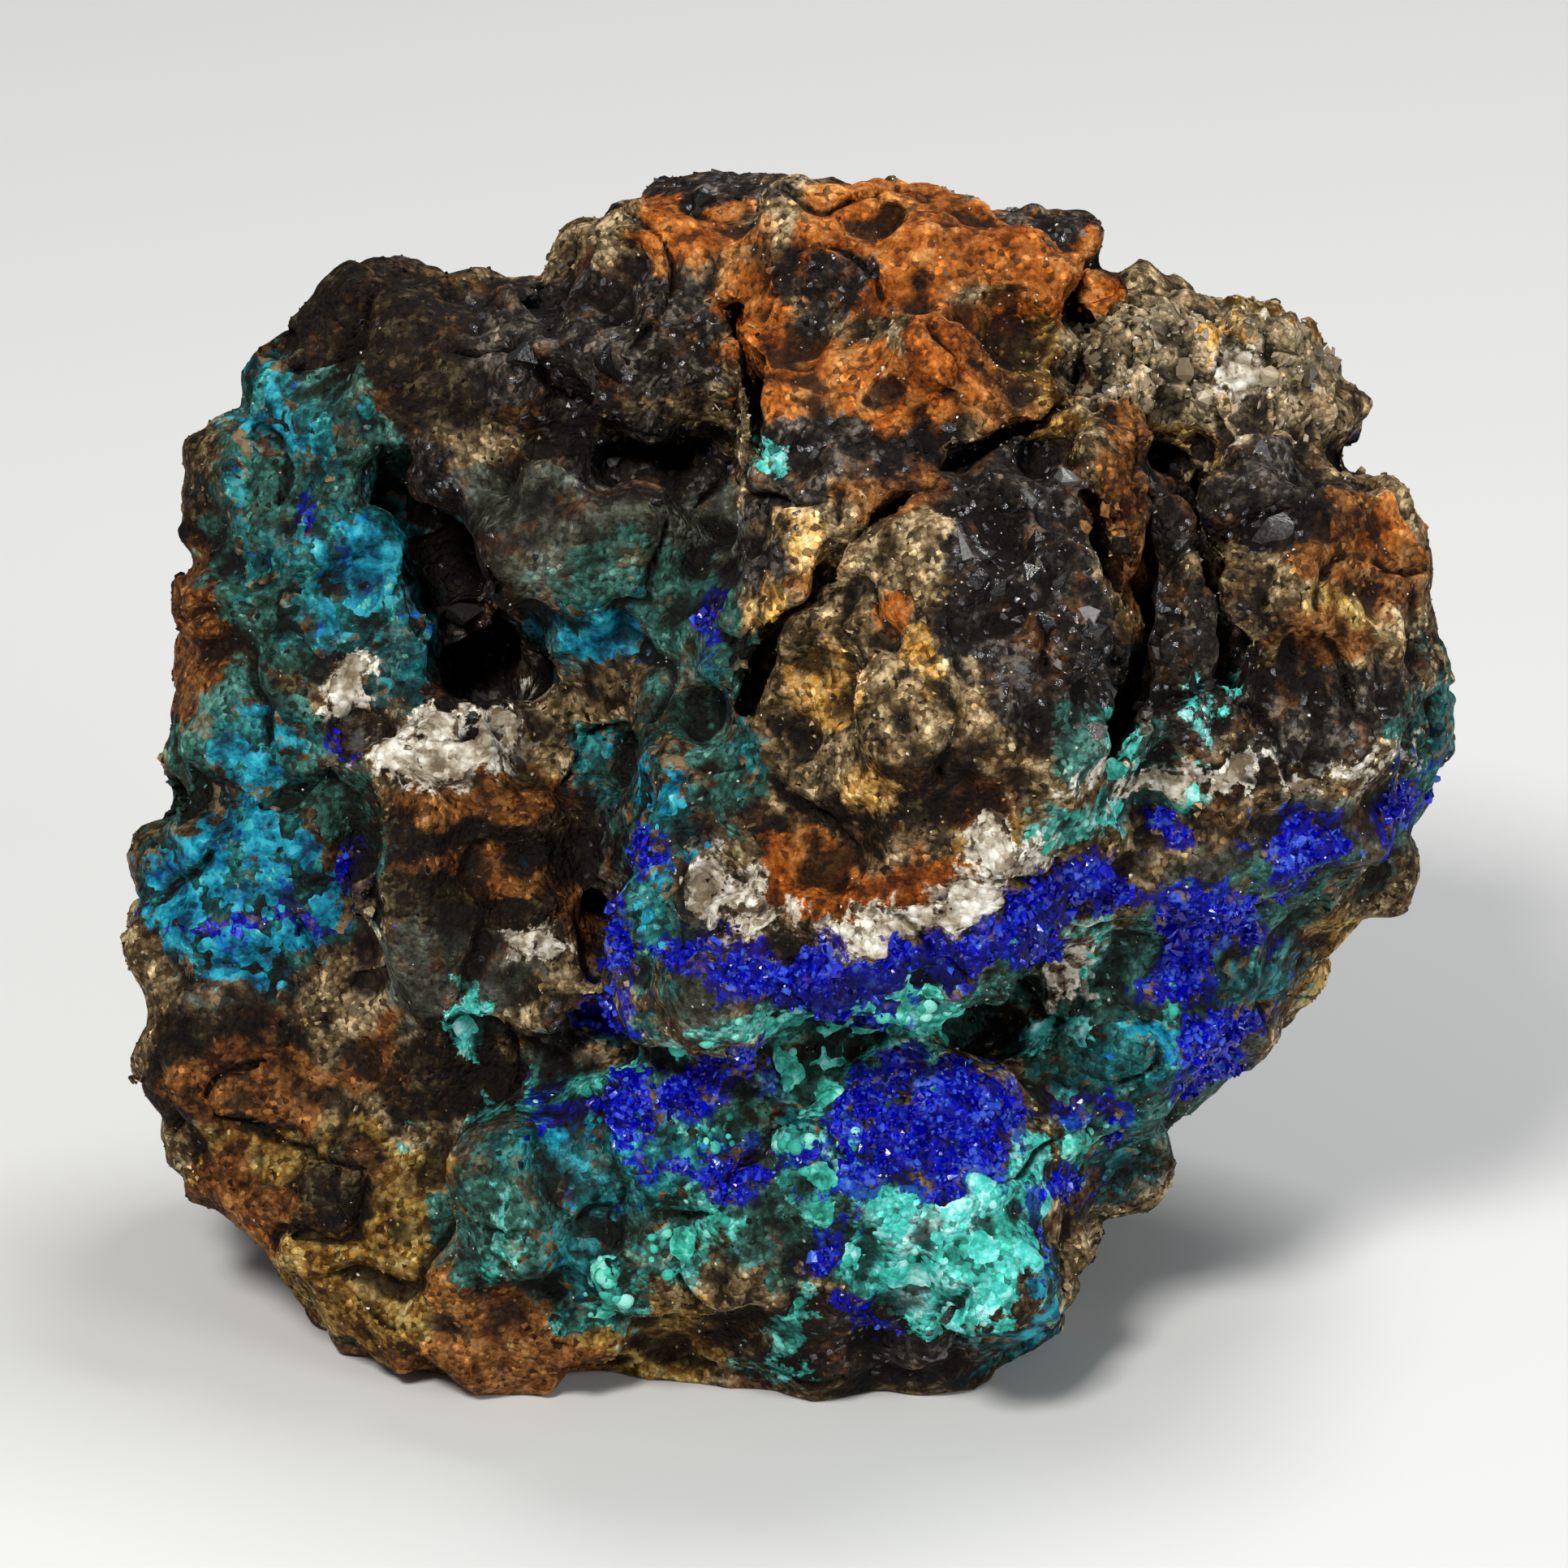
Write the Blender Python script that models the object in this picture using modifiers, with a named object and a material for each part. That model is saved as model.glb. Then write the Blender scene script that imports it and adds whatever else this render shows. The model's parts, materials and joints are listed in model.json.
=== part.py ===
"""A hand specimen of copper ore: chrysocolla, malachite and azurite on a rusty, quartz-veined rock.

The stone is one solid. It is described as a collector looks at it, in millimetres from the middle of
its display face: x to the right, y up, z towards the viewer. It is then leaned back by LEAN and cut
flat underneath, where it stands on its old break. The finished solid is in metres, +Z up, with the
middle of its base at the origin.
"""

import math

import bmesh
import bpy
import numpy as np
from mathutils import Euler, Matrix, Vector, noise

MM = 0.001

# Driving dimensions, in millimetres and degrees.
SILHOUETTE_Z = -4.0      # depth of the widest section of the stone
FRONT_BULGE = 8.0        # how far the bare body swells in front of that section
BACK_BULGE = 19.0        # and behind it
BODY_FULLNESS = 0.55     # 1 is an ellipsoid, less is fuller, like a worn block
LEAN = 20.0              # the display face looks up by this angle
BASE_DROP = 25.6         # from the middle of the display face down to the flat break
GROUND_WIDTH = 200.0
UNION_VOXEL = 0.55
CUTTER_VOXEL = 0.35
SOLID_TRIANGLES = 7600
CUTTER_TRIANGLES = 1500
COARSE_FACET = 5.2       # width of the broken facets, and how much they stand out
COARSE_RELIEF = 0.95
FINE_FACET = 2.3
FINE_RELIEF = 0.42
FACET_EDGE = 16.0        # how sharply one facet gives way to the next
FACET_TILT = 3.4         # how steeply facets lean, and how far they stand above or below each other
FACET_STEP = 1.6
FACET_BEND = 0.9         # how far the edges between facets stray, and over what length
FACET_BEND_LENGTH = 4.0
SHARP_EDGE = 35.0
NOISE_SEED = 7           # the noise gives the same stone each time
CRACK_OVERLAP = 0.72     # half length of a crack's blade, as a share of the stretch that it opens
CRACK_SQUARENESS = 2.6
CRACK_UNEVENNESS = 0.7   # how much a crack's opening differs along its way
CRACK_WANDER = 0.7       # how far a crack strays from its line, and over what length
CRACK_WANDER_LENGTH = 2.6
HOLLOW_WANDER = 1.6
HOLLOW_WANDER_LENGTH = 3.4

# The outline of the display face, clockwise from the left.
OUTLINE = (
    (-30.9, -7.1), (-30.1, -4.6), (-30.2, -2.5), (-29.4, -1.2), (-28.5, 0.0), (-28.6, 3.7),
    (-28.3, 7.5), (-27.7, 11.2), (-27.2, 15.0), (-26.2, 17.6), (-23.4, 21.1), (-21.5, 23.2),
    (-20.2, 24.5), (-18.1, 24.7), (-16.0, 24.0), (-13.9, 23.3), (-11.8, 23.0), (-10.4, 23.6),
    (-9.5, 25.4), (-8.1, 27.1), (-6.0, 28.3), (-3.9, 28.8), (-1.8, 28.5), (-0.5, 27.3),
    (1.1, 27.6), (2.8, 28.2), (5.0, 28.3), (9.0, 27.3), (11.5, 26.9), (14.2, 25.8),
    (14.9, 24.6), (14.7, 23.0), (16.2, 23.6), (19.4, 23.3), (21.1, 23.5), (22.8, 22.9),
    (24.9, 20.8), (26.7, 18.9), (27.5, 17.6), (26.7, 15.4), (28.6, 13.3), (29.9, 11.2),
    (30.7, 7.9), (31.1, 4.1), (31.1, 1.6), (30.3, 0.0), (29.4, -2.1), (28.6, -4.6),
    (26.9, -6.7), (24.9, -9.2), (23.2, -11.3), (21.9, -13.2), (19.7, -14.3), (19.2, -15.6),
    (17.8, -17.1), (15.3, -19.2), (13.2, -22.1), (12.8, -23.1), (13.4, -24.1), (12.8, -25.5),
    (11.1, -26.9), (9.4, -28.0), (6.9, -28.6), (4.0, -28.3), (1.5, -27.8), (-3.5, -27.4),
    (-6.0, -28.0), (-10.2, -28.6), (-12.7, -28.4), (-14.8, -27.8), (-17.3, -26.6),
    (-20.6, -26.1), (-22.7, -23.8), (-25.2, -21.3), (-28.1, -19.2), (-29.4, -16.3),
    (-30.2, -14.4), (-30.0, -12.4), (-30.2, -9.4),
)

# Lumps of rock that stand out of the body: name, centre, radii, turn in the display face in
# degrees, and squareness, where 2 is an ellipsoid and more is a rounded block.
LUMPS = (
    ("dome", (8.6, 4.0, 7.5), (8.6, 10.6, 12.5), -12, 2.5),
    ("dome_shoulder", (1.4, 9.4, 6.0), (4.4, 7.4, 9.5), -33, 2.8),
    ("dome_foot", (-0.8, -1.6, 6.5), (3.4, 5.0, 8.5), -12, 2.6),
    ("peeled_lip", (4.6, -5.2, 8.5), (6.0, 2.6, 9.0), 8, 2.8),
    ("crown_left", (-4.4, 23.3, -1.0), (5.4, 4.4, 7.5), 0, 2.8),
    ("crown_middle", (4.6, 21.4, 2.0), (7.2, 6.2, 8.5), 0, 2.6),
    ("crown_right", (11.0, 21.0, 1.5), (3.4, 4.6, 7.5), 0, 2.6),
    ("brow", (5.2, 16.6, 4.5), (8.2, 4.2, 9.0), -8, 2.8),
    ("quartz_knob", (20.2, 18.9, 0.0), (5.4, 4.2, 7.5), -12, 2.4),
    ("quartz_step", (15.2, 19.2, 1.5), (2.8, 3.6, 6.5), 0, 2.4),
    ("orange_rib", (14.8, 11.4, 7.0), (2.0, 6.4, 8.5), 8, 2.8),
    ("dark_rib", (17.8, 6.4, 6.0), (1.9, 6.8, 8.5), 3, 2.8),
    ("right_lump", (23.2, 7.4, 2.0), (6.5, 8.8, 11.0), -4, 2.4),
    ("right_foot", (20.0, 0.9, 4.0), (8.6, 3.6, 9.0), 8, 2.6),
    ("mint_shelf", (18.4, -4.0, 2.5), (10.6, 3.3, 9.5), 14, 2.8),
    ("white_shelf", (5.4, -8.1, 7.5), (8.6, 2.5, 9.5), 14, 2.8),
    ("azurite_knob", (-3.6, -9.2, 12.0), (3.2, 3.3, 6.0), 0, 2.3),
    ("blue_rib", (-5.7, -3.8, 6.0), (1.9, 7.4, 8.0), -9, 2.6),
    ("azurite_panel", (0.4, -17.8, 1.0), (13.0, 7.4, 10.0), 0, 3.0),
    ("panel_corner", (8.6, -20.4, 1.5), (5.0, 5.6, 9.0), 10, 2.5),
    ("panel_left", (-11.2, -19.0, 2.0), (4.6, 5.4, 8.0), 0, 2.4),
    ("panel_foot", (2.0, -25.0, -2.5), (9.6, 3.4, 9.0), 0, 2.6),
    ("right_slope", (15.6, -10.6, -1.0), (8.0, 5.0, 9.0), 44, 2.5),
    ("brown_boulder", (-13.8, -6.6, 0.0), (5.4, 7.0, 8.5), 8, 3.2),
    ("turquoise_block", (-24.6, -5.4, -7.0), (5.6, 4.8, 8.0), 5, 3.4),
    ("block_above", (-25.0, 2.0, -8.0), (3.8, 3.2, 7.0), 0, 2.8),
    ("left_wall", (-22.0, 10.4, -10.0), (5.2, 9.0, 9.0), -10, 2.8),
    ("left_peak", (-17.6, 20.0, -8.0), (4.6, 4.0, 8.0), 0, 2.5),
    ("grey_boulder", (-8.9, 10.4, 1.0), (6.3, 4.8, 8.5), -6, 2.6),
    ("grey_crag", (-6.4, 19.8, -1.0), (4.4, 4.6, 8.5), -18, 3.0),
    ("grey_fin", (-12.2, 20.2, -3.0), (1.9, 4.4, 7.0), 0, 2.6),
    ("green_slope", (-4.4, 4.6, 2.5), (3.2, 4.2, 7.0), -10, 2.4),
    ("white_ledge", (-16.0, 1.7, -1.0), (4.4, 1.6, 7.0), 8, 2.8),
    ("ochre_cheek", (-24.0, -14.2, -5.0), (5.4, 4.8, 8.5), 0, 2.5),
    ("ochre_step", (-19.4, -19.8, -3.0), (6.4, 4.8, 8.5), -25, 2.6),
    ("ochre_foot", (-13.2, -24.2, -2.5), (7.6, 3.8, 9.0), -8, 2.6),
    ("back_shoulder", (9.0, 7.0, -15.0), (15.0, 12.0, 9.5), 20, 2.8),
    ("back_hump", (-11.0, -2.0, -14.0), (13.0, 15.0, 8.5), -10, 2.8),
    ("back_foot", (3.0, -14.0, -13.0), (15.0, 9.0, 9.5), 5, 2.8),
)

# Hollows that go into the rock: name, centre and radii.
HOLLOWS = (
    ("upper_hollow", (-17.4, 13.6, 1.0), (2.5, 2.8, 7.5)),
    ("hollow_gap", (-15.6, 10.6, 3.0), (1.2, 3.6, 8.0)),
    ("deep_hollow", (-13.6, 5.4, 3.0), (2.6, 2.9, 10.0)),
    ("brow_hollow", (-5.2, 15.0, 8.0), (4.6, 1.5, 8.0)),
    ("crag_cleft", (-9.7, 19.4, 6.0), (0.8, 3.2, 5.0)),
    ("boulder_gap", (-8.2, -3.8, 9.0), (0.9, 4.2, 7.0)),
    ("boulder_foot", (-13.4, -13.0, 8.0), (1.6, 1.6, 4.0)),
    ("ochre_pit", (-18.2, -13.1, 5.0), (1.5, 0.9, 3.0)),
    ("panel_pit", (-1.0, -14.0, 12.0), (2.0, 1.0, 4.0)),
    ("slope_pit", (9.2, -11.8, 12.0), (2.3, 0.8, 6.0)),
    ("wall_pit", (-21.6, 17.6, -1.0), (1.2, 0.8, 3.0)),
)

# Open cracks: name, half width, depth, and the points that the crack runs through.
CRACKS = (
    ("dome_crack", 0.62, 6.0, (
        (12.6, 16.9, 12.5), (9.0, 15.2, 13.5), (5.4, 13.0, 14.5), (2.8, 10.6, 15.5),
        (0.6, 7.6, 15.0), (-0.9, 5.2, 14.0), (-1.6, 3.2, 13.0),
    )),
    ("left_cleft", 0.75, 7.0, (
        (16.6, 13.2, 12.5), (16.5, 9.6, 13.5), (16.0, 6.4, 14.0), (15.2, 3.6, 14.0), (14.4, 1.6, 13.5),
    )),
    ("right_cleft", 0.75, 7.0, (
        (18.4, 14.4, 10.0), (19.0, 11.2, 12.0), (19.4, 8.2, 13.0), (19.9, 5.2, 13.5),
    )),
    ("rib_crack", 0.42, 4.0, ((13.0, 14.4, 13.5), (14.2, 11.6, 14.8), (14.9, 9.0, 15.0))),
    ("crown_crack", 0.6, 6.0, (
        (-2.8, 21.8, 7.0), (-1.6, 19.2, 8.0), (-0.9, 16.6, 10.0), (-1.2, 14.6, 11.0),
    )),
    ("knob_gap", 0.6, 6.0, ((14.0, 23.4, 4.0), (13.4, 20.6, 7.5), (12.9, 18.2, 9.5))),
)

ROCK_COLOR = (0.16, 0.105, 0.06, 1.0)
ROCK_ROUGHNESS = 0.8


def clear_scene():
    for old in list(bpy.data.objects):
        bpy.data.objects.remove(old, do_unlink=True)


def new_object(name, bm, collection):
    mesh = bpy.data.meshes.new(name)
    bm.to_mesh(mesh)
    bm.free()
    obj = bpy.data.objects.new(name, mesh)
    collection.objects.link(obj)
    return obj


def bake(obj):
    """Makes the object's mesh the one that its modifiers give, and drops the modifiers."""
    bpy.context.view_layer.update()
    evaluated = obj.evaluated_get(bpy.context.evaluated_depsgraph_get())
    baked = bpy.data.meshes.new_from_object(evaluated)
    obj.modifiers.clear()
    obj.data = baked


def add_body(bm):
    """A sphere drawn out to the outline across the display face, and to the two bulges through it."""
    angles = np.array([math.atan2(y, x) for x, y in OUTLINE])
    reaches = np.array([math.hypot(x, y) for x, y in OUTLINE])
    made = bmesh.ops.create_icosphere(bm, subdivisions=6, radius=1.0)
    for vert in made["verts"]:
        across = min(1.0, math.hypot(vert.co.x, vert.co.y))
        angle = math.atan2(vert.co.y, vert.co.x)
        reach = float(np.interp(angle, angles[::-1], reaches[::-1], period=2 * math.pi))
        reach *= across ** BODY_FULLNESS
        bulge = FRONT_BULGE if vert.co.z > 0 else BACK_BULGE
        depth = SILHOUETTE_Z + math.copysign(bulge * abs(vert.co.z) ** BODY_FULLNESS, vert.co.z)
        vert.co = Vector((reach * math.cos(angle), reach * math.sin(angle), depth)) * MM


def add_lump(bm, centre, radii, turn=0.0, squareness=2.0):
    """An ellipsoid or a rounded block, turned about the line of sight."""
    made = bmesh.ops.create_icosphere(bm, subdivisions=4, radius=1.0)
    for vert in made["verts"]:
        vert.co /= sum(abs(c) ** squareness for c in vert.co) ** (1.0 / squareness)
    place = (
        Matrix.Translation(Vector(centre) * MM)
        @ Euler((0.0, 0.0, math.radians(turn))).to_matrix().to_4x4()
        @ Matrix.Diagonal((*(r * MM for r in radii), 1.0))
    )
    bmesh.ops.transform(bm, matrix=place, verts=made["verts"])


def add_crack(bm, half_width, depth, points):
    """A chain of thin blades, one along each stretch of the crack, that overlap at the bends.

    The blades differ in width, so the crack opens and closes along its way."""
    for start, end in zip(points, points[1:]):
        along = Vector(end) - Vector(start)
        middle = (Vector(start) + Vector(end)) / 2
        turn = math.degrees(math.atan2(along.y, along.x))
        half_length = CRACK_OVERLAP * math.hypot(along.x, along.y)
        opening = half_width * (1.0 + CRACK_UNEVENNESS * noise.noise(middle / CRACK_WANDER_LENGTH))
        add_lump(bm, middle, (half_length, opening, depth), turn, CRACK_SQUARENESS)


def wander(obj, reach, length):
    """Bends the mesh as a whole, so that straight and round forms turn ragged but keep their width."""
    for vert in obj.data.vertices:
        vert.co += noise.noise_vector(vert.co / (length * MM)) * reach * MM


def remesh(obj, voxel):
    fused = obj.modifiers.new("fuse", "REMESH")
    fused.mode = "VOXEL"
    fused.voxel_size = voxel * MM
    bake(obj)


def thin_out(obj, triangles):
    """Reduces the mesh to about this many triangles."""
    count = sum(len(face.vertices) - 2 for face in obj.data.polygons)
    thinned = obj.modifiers.new("thin out", "DECIMATE")
    thinned.ratio = triangles / count
    thinned.use_collapse_triangulate = True
    bake(obj)


def facet_height(point, width):
    """Height of a surface broken into flat, tilted facets of about this width, from about -1 to 1.

    Each facet has its own height and tilt, which noise gives at a place of its own."""
    at = point / (width * MM)
    distances, seeds = noise.voronoi(at)
    total = weights = 0.0
    for distance, seed in zip(distances, seeds):
        height = FACET_STEP * noise.noise(seed * 5.1)
        height += FACET_TILT * noise.noise_vector(seed * 3.7).dot(at - seed)
        weight = math.exp(-FACET_EDGE * (distance - distances[0]))
        total += weight * height
        weights += weight
    return total / weights


def break_surface(obj):
    """Gives the rock its broken look: coarse and fine facets, standing out along the surface's normal."""
    moved = []
    for vert in obj.data.vertices:
        bend = noise.noise_vector(vert.co / (FACET_BEND_LENGTH * MM)) * FACET_BEND * MM
        height = COARSE_RELIEF * facet_height(vert.co + bend, COARSE_FACET)
        height += FINE_RELIEF * facet_height(vert.co + bend, FINE_FACET)
        moved.append(vert.co + vert.normal * height * MM)
    for vert, co in zip(obj.data.vertices, moved):
        vert.co = co


def cut(obj, cutter):
    taken = obj.modifiers.new("cut", "BOOLEAN")
    taken.operation = "DIFFERENCE"
    taken.solver = "EXACT"
    taken.object = cutter
    bake(obj)


def make_cutter(name, bm, helpers):
    cutter = new_object(name, bm, helpers)
    cutter.hide_render = True
    cutter.display_type = "WIRE"
    return cutter


def make_hollows(helpers):
    bm = bmesh.new()
    for _, centre, radii in HOLLOWS:
        add_lump(bm, centre, radii)
    cutter = make_cutter("hollows", bm, helpers)
    remesh(cutter, CUTTER_VOXEL)
    wander(cutter, HOLLOW_WANDER, HOLLOW_WANDER_LENGTH)
    thin_out(cutter, CUTTER_TRIANGLES)
    return cutter


def make_cracks(helpers):
    bm = bmesh.new()
    for _, half_width, depth, points in CRACKS:
        add_crack(bm, half_width, depth, points)
    cutter = make_cutter("cracks", bm, helpers)
    remesh(cutter, CUTTER_VOXEL)
    wander(cutter, CRACK_WANDER, CRACK_WANDER_LENGTH)
    thin_out(cutter, CUTTER_TRIANGLES)
    return cutter


def make_ground(helpers):
    """Everything under the flat break, as one block."""
    bm = bmesh.new()
    bmesh.ops.create_cube(bm, size=GROUND_WIDTH * MM)
    bmesh.ops.translate(bm, vec=(0.0, 0.0, -(BASE_DROP + GROUND_WIDTH / 2) * MM), verts=bm.verts)
    return make_cutter("ground", bm, helpers)


def stand_up():
    """Turns the display face's axes to the finished frame: x stays, y goes up and z faces -Y, leaned back."""
    return Matrix.Rotation(math.radians(90.0 - LEAN), 4, "X")


def set_on_origin(obj):
    """Moves the mesh so that the middle of its box, at the level of its base, is the origin."""
    points = np.array([vert.co for vert in obj.data.vertices])
    low, high = points.min(0), points.max(0)
    middle = (low + high) / 2
    obj.data.transform(Matrix.Translation((-middle[0], -middle[1], -low[2])))
    print("The middle of the display face is at", [round(float(c), 5) for c in (-middle[0], -middle[1], -low[2])])


def rock_material():
    material = bpy.data.materials.new("copper_ore")
    material.use_nodes = True
    surface = material.node_tree.nodes["Principled BSDF"]
    surface.inputs["Base Color"].default_value = ROCK_COLOR
    surface.inputs["Roughness"].default_value = ROCK_ROUGHNESS
    surface.inputs["Metallic"].default_value = 0.0
    return material


def build_specimen(parts, helpers):
    bm = bmesh.new()
    add_body(bm)
    for _, centre, radii, turn, squareness in LUMPS:
        add_lump(bm, centre, radii, turn, squareness)
    stone = new_object("ore_specimen", bm, parts)
    remesh(stone, UNION_VOXEL)
    cut(stone, make_hollows(helpers))
    remesh(stone, UNION_VOXEL)
    break_surface(stone)
    remesh(stone, UNION_VOXEL)
    thin_out(stone, SOLID_TRIANGLES)
    cut(stone, make_cracks(helpers))
    stone.data.transform(stand_up())
    cut(stone, make_ground(helpers))
    set_on_origin(stone)
    stone.data.materials.clear()
    stone.data.materials.append(rock_material())
    stone.data.shade_smooth()
    stone.data.set_sharp_from_angle(angle=math.radians(SHARP_EDGE))
    return stone


def main():
    clear_scene()
    noise.seed_set(NOISE_SEED)
    parts = bpy.data.collections.new("chrysocolla_and_malachite_specimen")
    helpers = bpy.data.collections.new("cutters")
    bpy.context.scene.collection.children.link(parts)
    bpy.context.scene.collection.children.link(helpers)
    build_specimen(parts, helpers)


main()
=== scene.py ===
"""The looks of the copper ore specimen: rock with crusts of azurite, malachite and chrysocolla.

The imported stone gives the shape. A finer rock is grown from it and takes its place, and each mineral is a
crust of its own that rises out of the rock where its patches are, with small crystals on it. Lengths in
this script are in millimetres until they go into a mesh, which is in metres.
"""

import json
import math

import bmesh
import bpy
import numpy as np
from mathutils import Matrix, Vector

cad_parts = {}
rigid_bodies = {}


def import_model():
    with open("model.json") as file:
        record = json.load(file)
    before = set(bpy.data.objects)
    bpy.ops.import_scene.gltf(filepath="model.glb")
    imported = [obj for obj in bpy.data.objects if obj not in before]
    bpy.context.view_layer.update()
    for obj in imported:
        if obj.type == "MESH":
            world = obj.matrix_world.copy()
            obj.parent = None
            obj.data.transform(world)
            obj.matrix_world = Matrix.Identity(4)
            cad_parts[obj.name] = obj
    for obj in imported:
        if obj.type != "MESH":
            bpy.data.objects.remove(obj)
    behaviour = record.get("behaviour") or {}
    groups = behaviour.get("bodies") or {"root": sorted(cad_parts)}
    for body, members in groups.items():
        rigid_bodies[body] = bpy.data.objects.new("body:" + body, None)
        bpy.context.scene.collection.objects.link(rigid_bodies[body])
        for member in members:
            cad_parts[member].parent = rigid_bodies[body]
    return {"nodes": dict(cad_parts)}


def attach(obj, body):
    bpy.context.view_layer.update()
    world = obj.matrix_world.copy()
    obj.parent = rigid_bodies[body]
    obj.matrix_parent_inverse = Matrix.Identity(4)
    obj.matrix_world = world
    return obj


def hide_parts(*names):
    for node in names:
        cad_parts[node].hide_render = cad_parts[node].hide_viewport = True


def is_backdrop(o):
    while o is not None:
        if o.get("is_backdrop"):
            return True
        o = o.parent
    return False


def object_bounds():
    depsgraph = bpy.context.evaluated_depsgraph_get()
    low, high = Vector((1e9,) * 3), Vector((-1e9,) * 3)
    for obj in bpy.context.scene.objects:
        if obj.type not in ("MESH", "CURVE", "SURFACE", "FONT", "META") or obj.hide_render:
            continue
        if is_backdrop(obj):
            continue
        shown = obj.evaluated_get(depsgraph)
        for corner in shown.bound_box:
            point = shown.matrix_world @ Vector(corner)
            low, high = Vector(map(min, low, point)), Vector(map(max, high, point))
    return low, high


MM = 0.001

# How the display face lies in the frame, and the camera that looks straight at it.
DISPLAY_CENTRE = (-0.19, -4.05, 25.6)
LEAN = 20.0
CAMERA_DISTANCE = 405.0
CAMERA_LENS = 200.0
CAMERA_SENSOR = 36.0

# The fine rock that everything grows from.
ROCK_VOXEL = 0.27
ROCK_TRIANGLES = 194000
BACK_TRIANGLES = 60000   # how many of them are behind the display face
SET_BACK = 0.28          # the broken surface lies this much further in than the plain stone's, on the whole
COARSE_CHIP = 3.7        # width of the chipped grains on it, and how much they stand out
COARSE_RELIEF = 1.15
MIDDLE_CHIP = 1.8
MIDDLE_RELIEF = 0.68
FINE_CHIP = 0.85
FINE_RELIEF = 0.20
OCHRE_KNOB = 1.0         # width of the knobs on the ochre and on the quartz, and how much they stand out
OCHRE_RELIEF = 0.20
QUARTZ_KNOB = 2.0
QUARTZ_RELIEF = 0.9
FISSURE_SPREAD = 7.5     # how far apart the fine fissures are, how wide as a share of that, and how deep
FISSURE_WIDTH = 0.045
FISSURE_DEPTH = 0.6
BASE_KEPT = 1.1          # the broken surface fades out this close to the flat base
FRONT_ENDS = -9.0        # patches of the display face fade out at this depth
FRONT_FADE = 5.0
FAR = 9.0                # nothing counts as further than this from a patch or a line
FIELD_REACH = 1.2        # a mineral's attribute goes from 0 to 1 over this far on either side of its edge
SHARP_EDGE = 42.0        # in degrees

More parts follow.
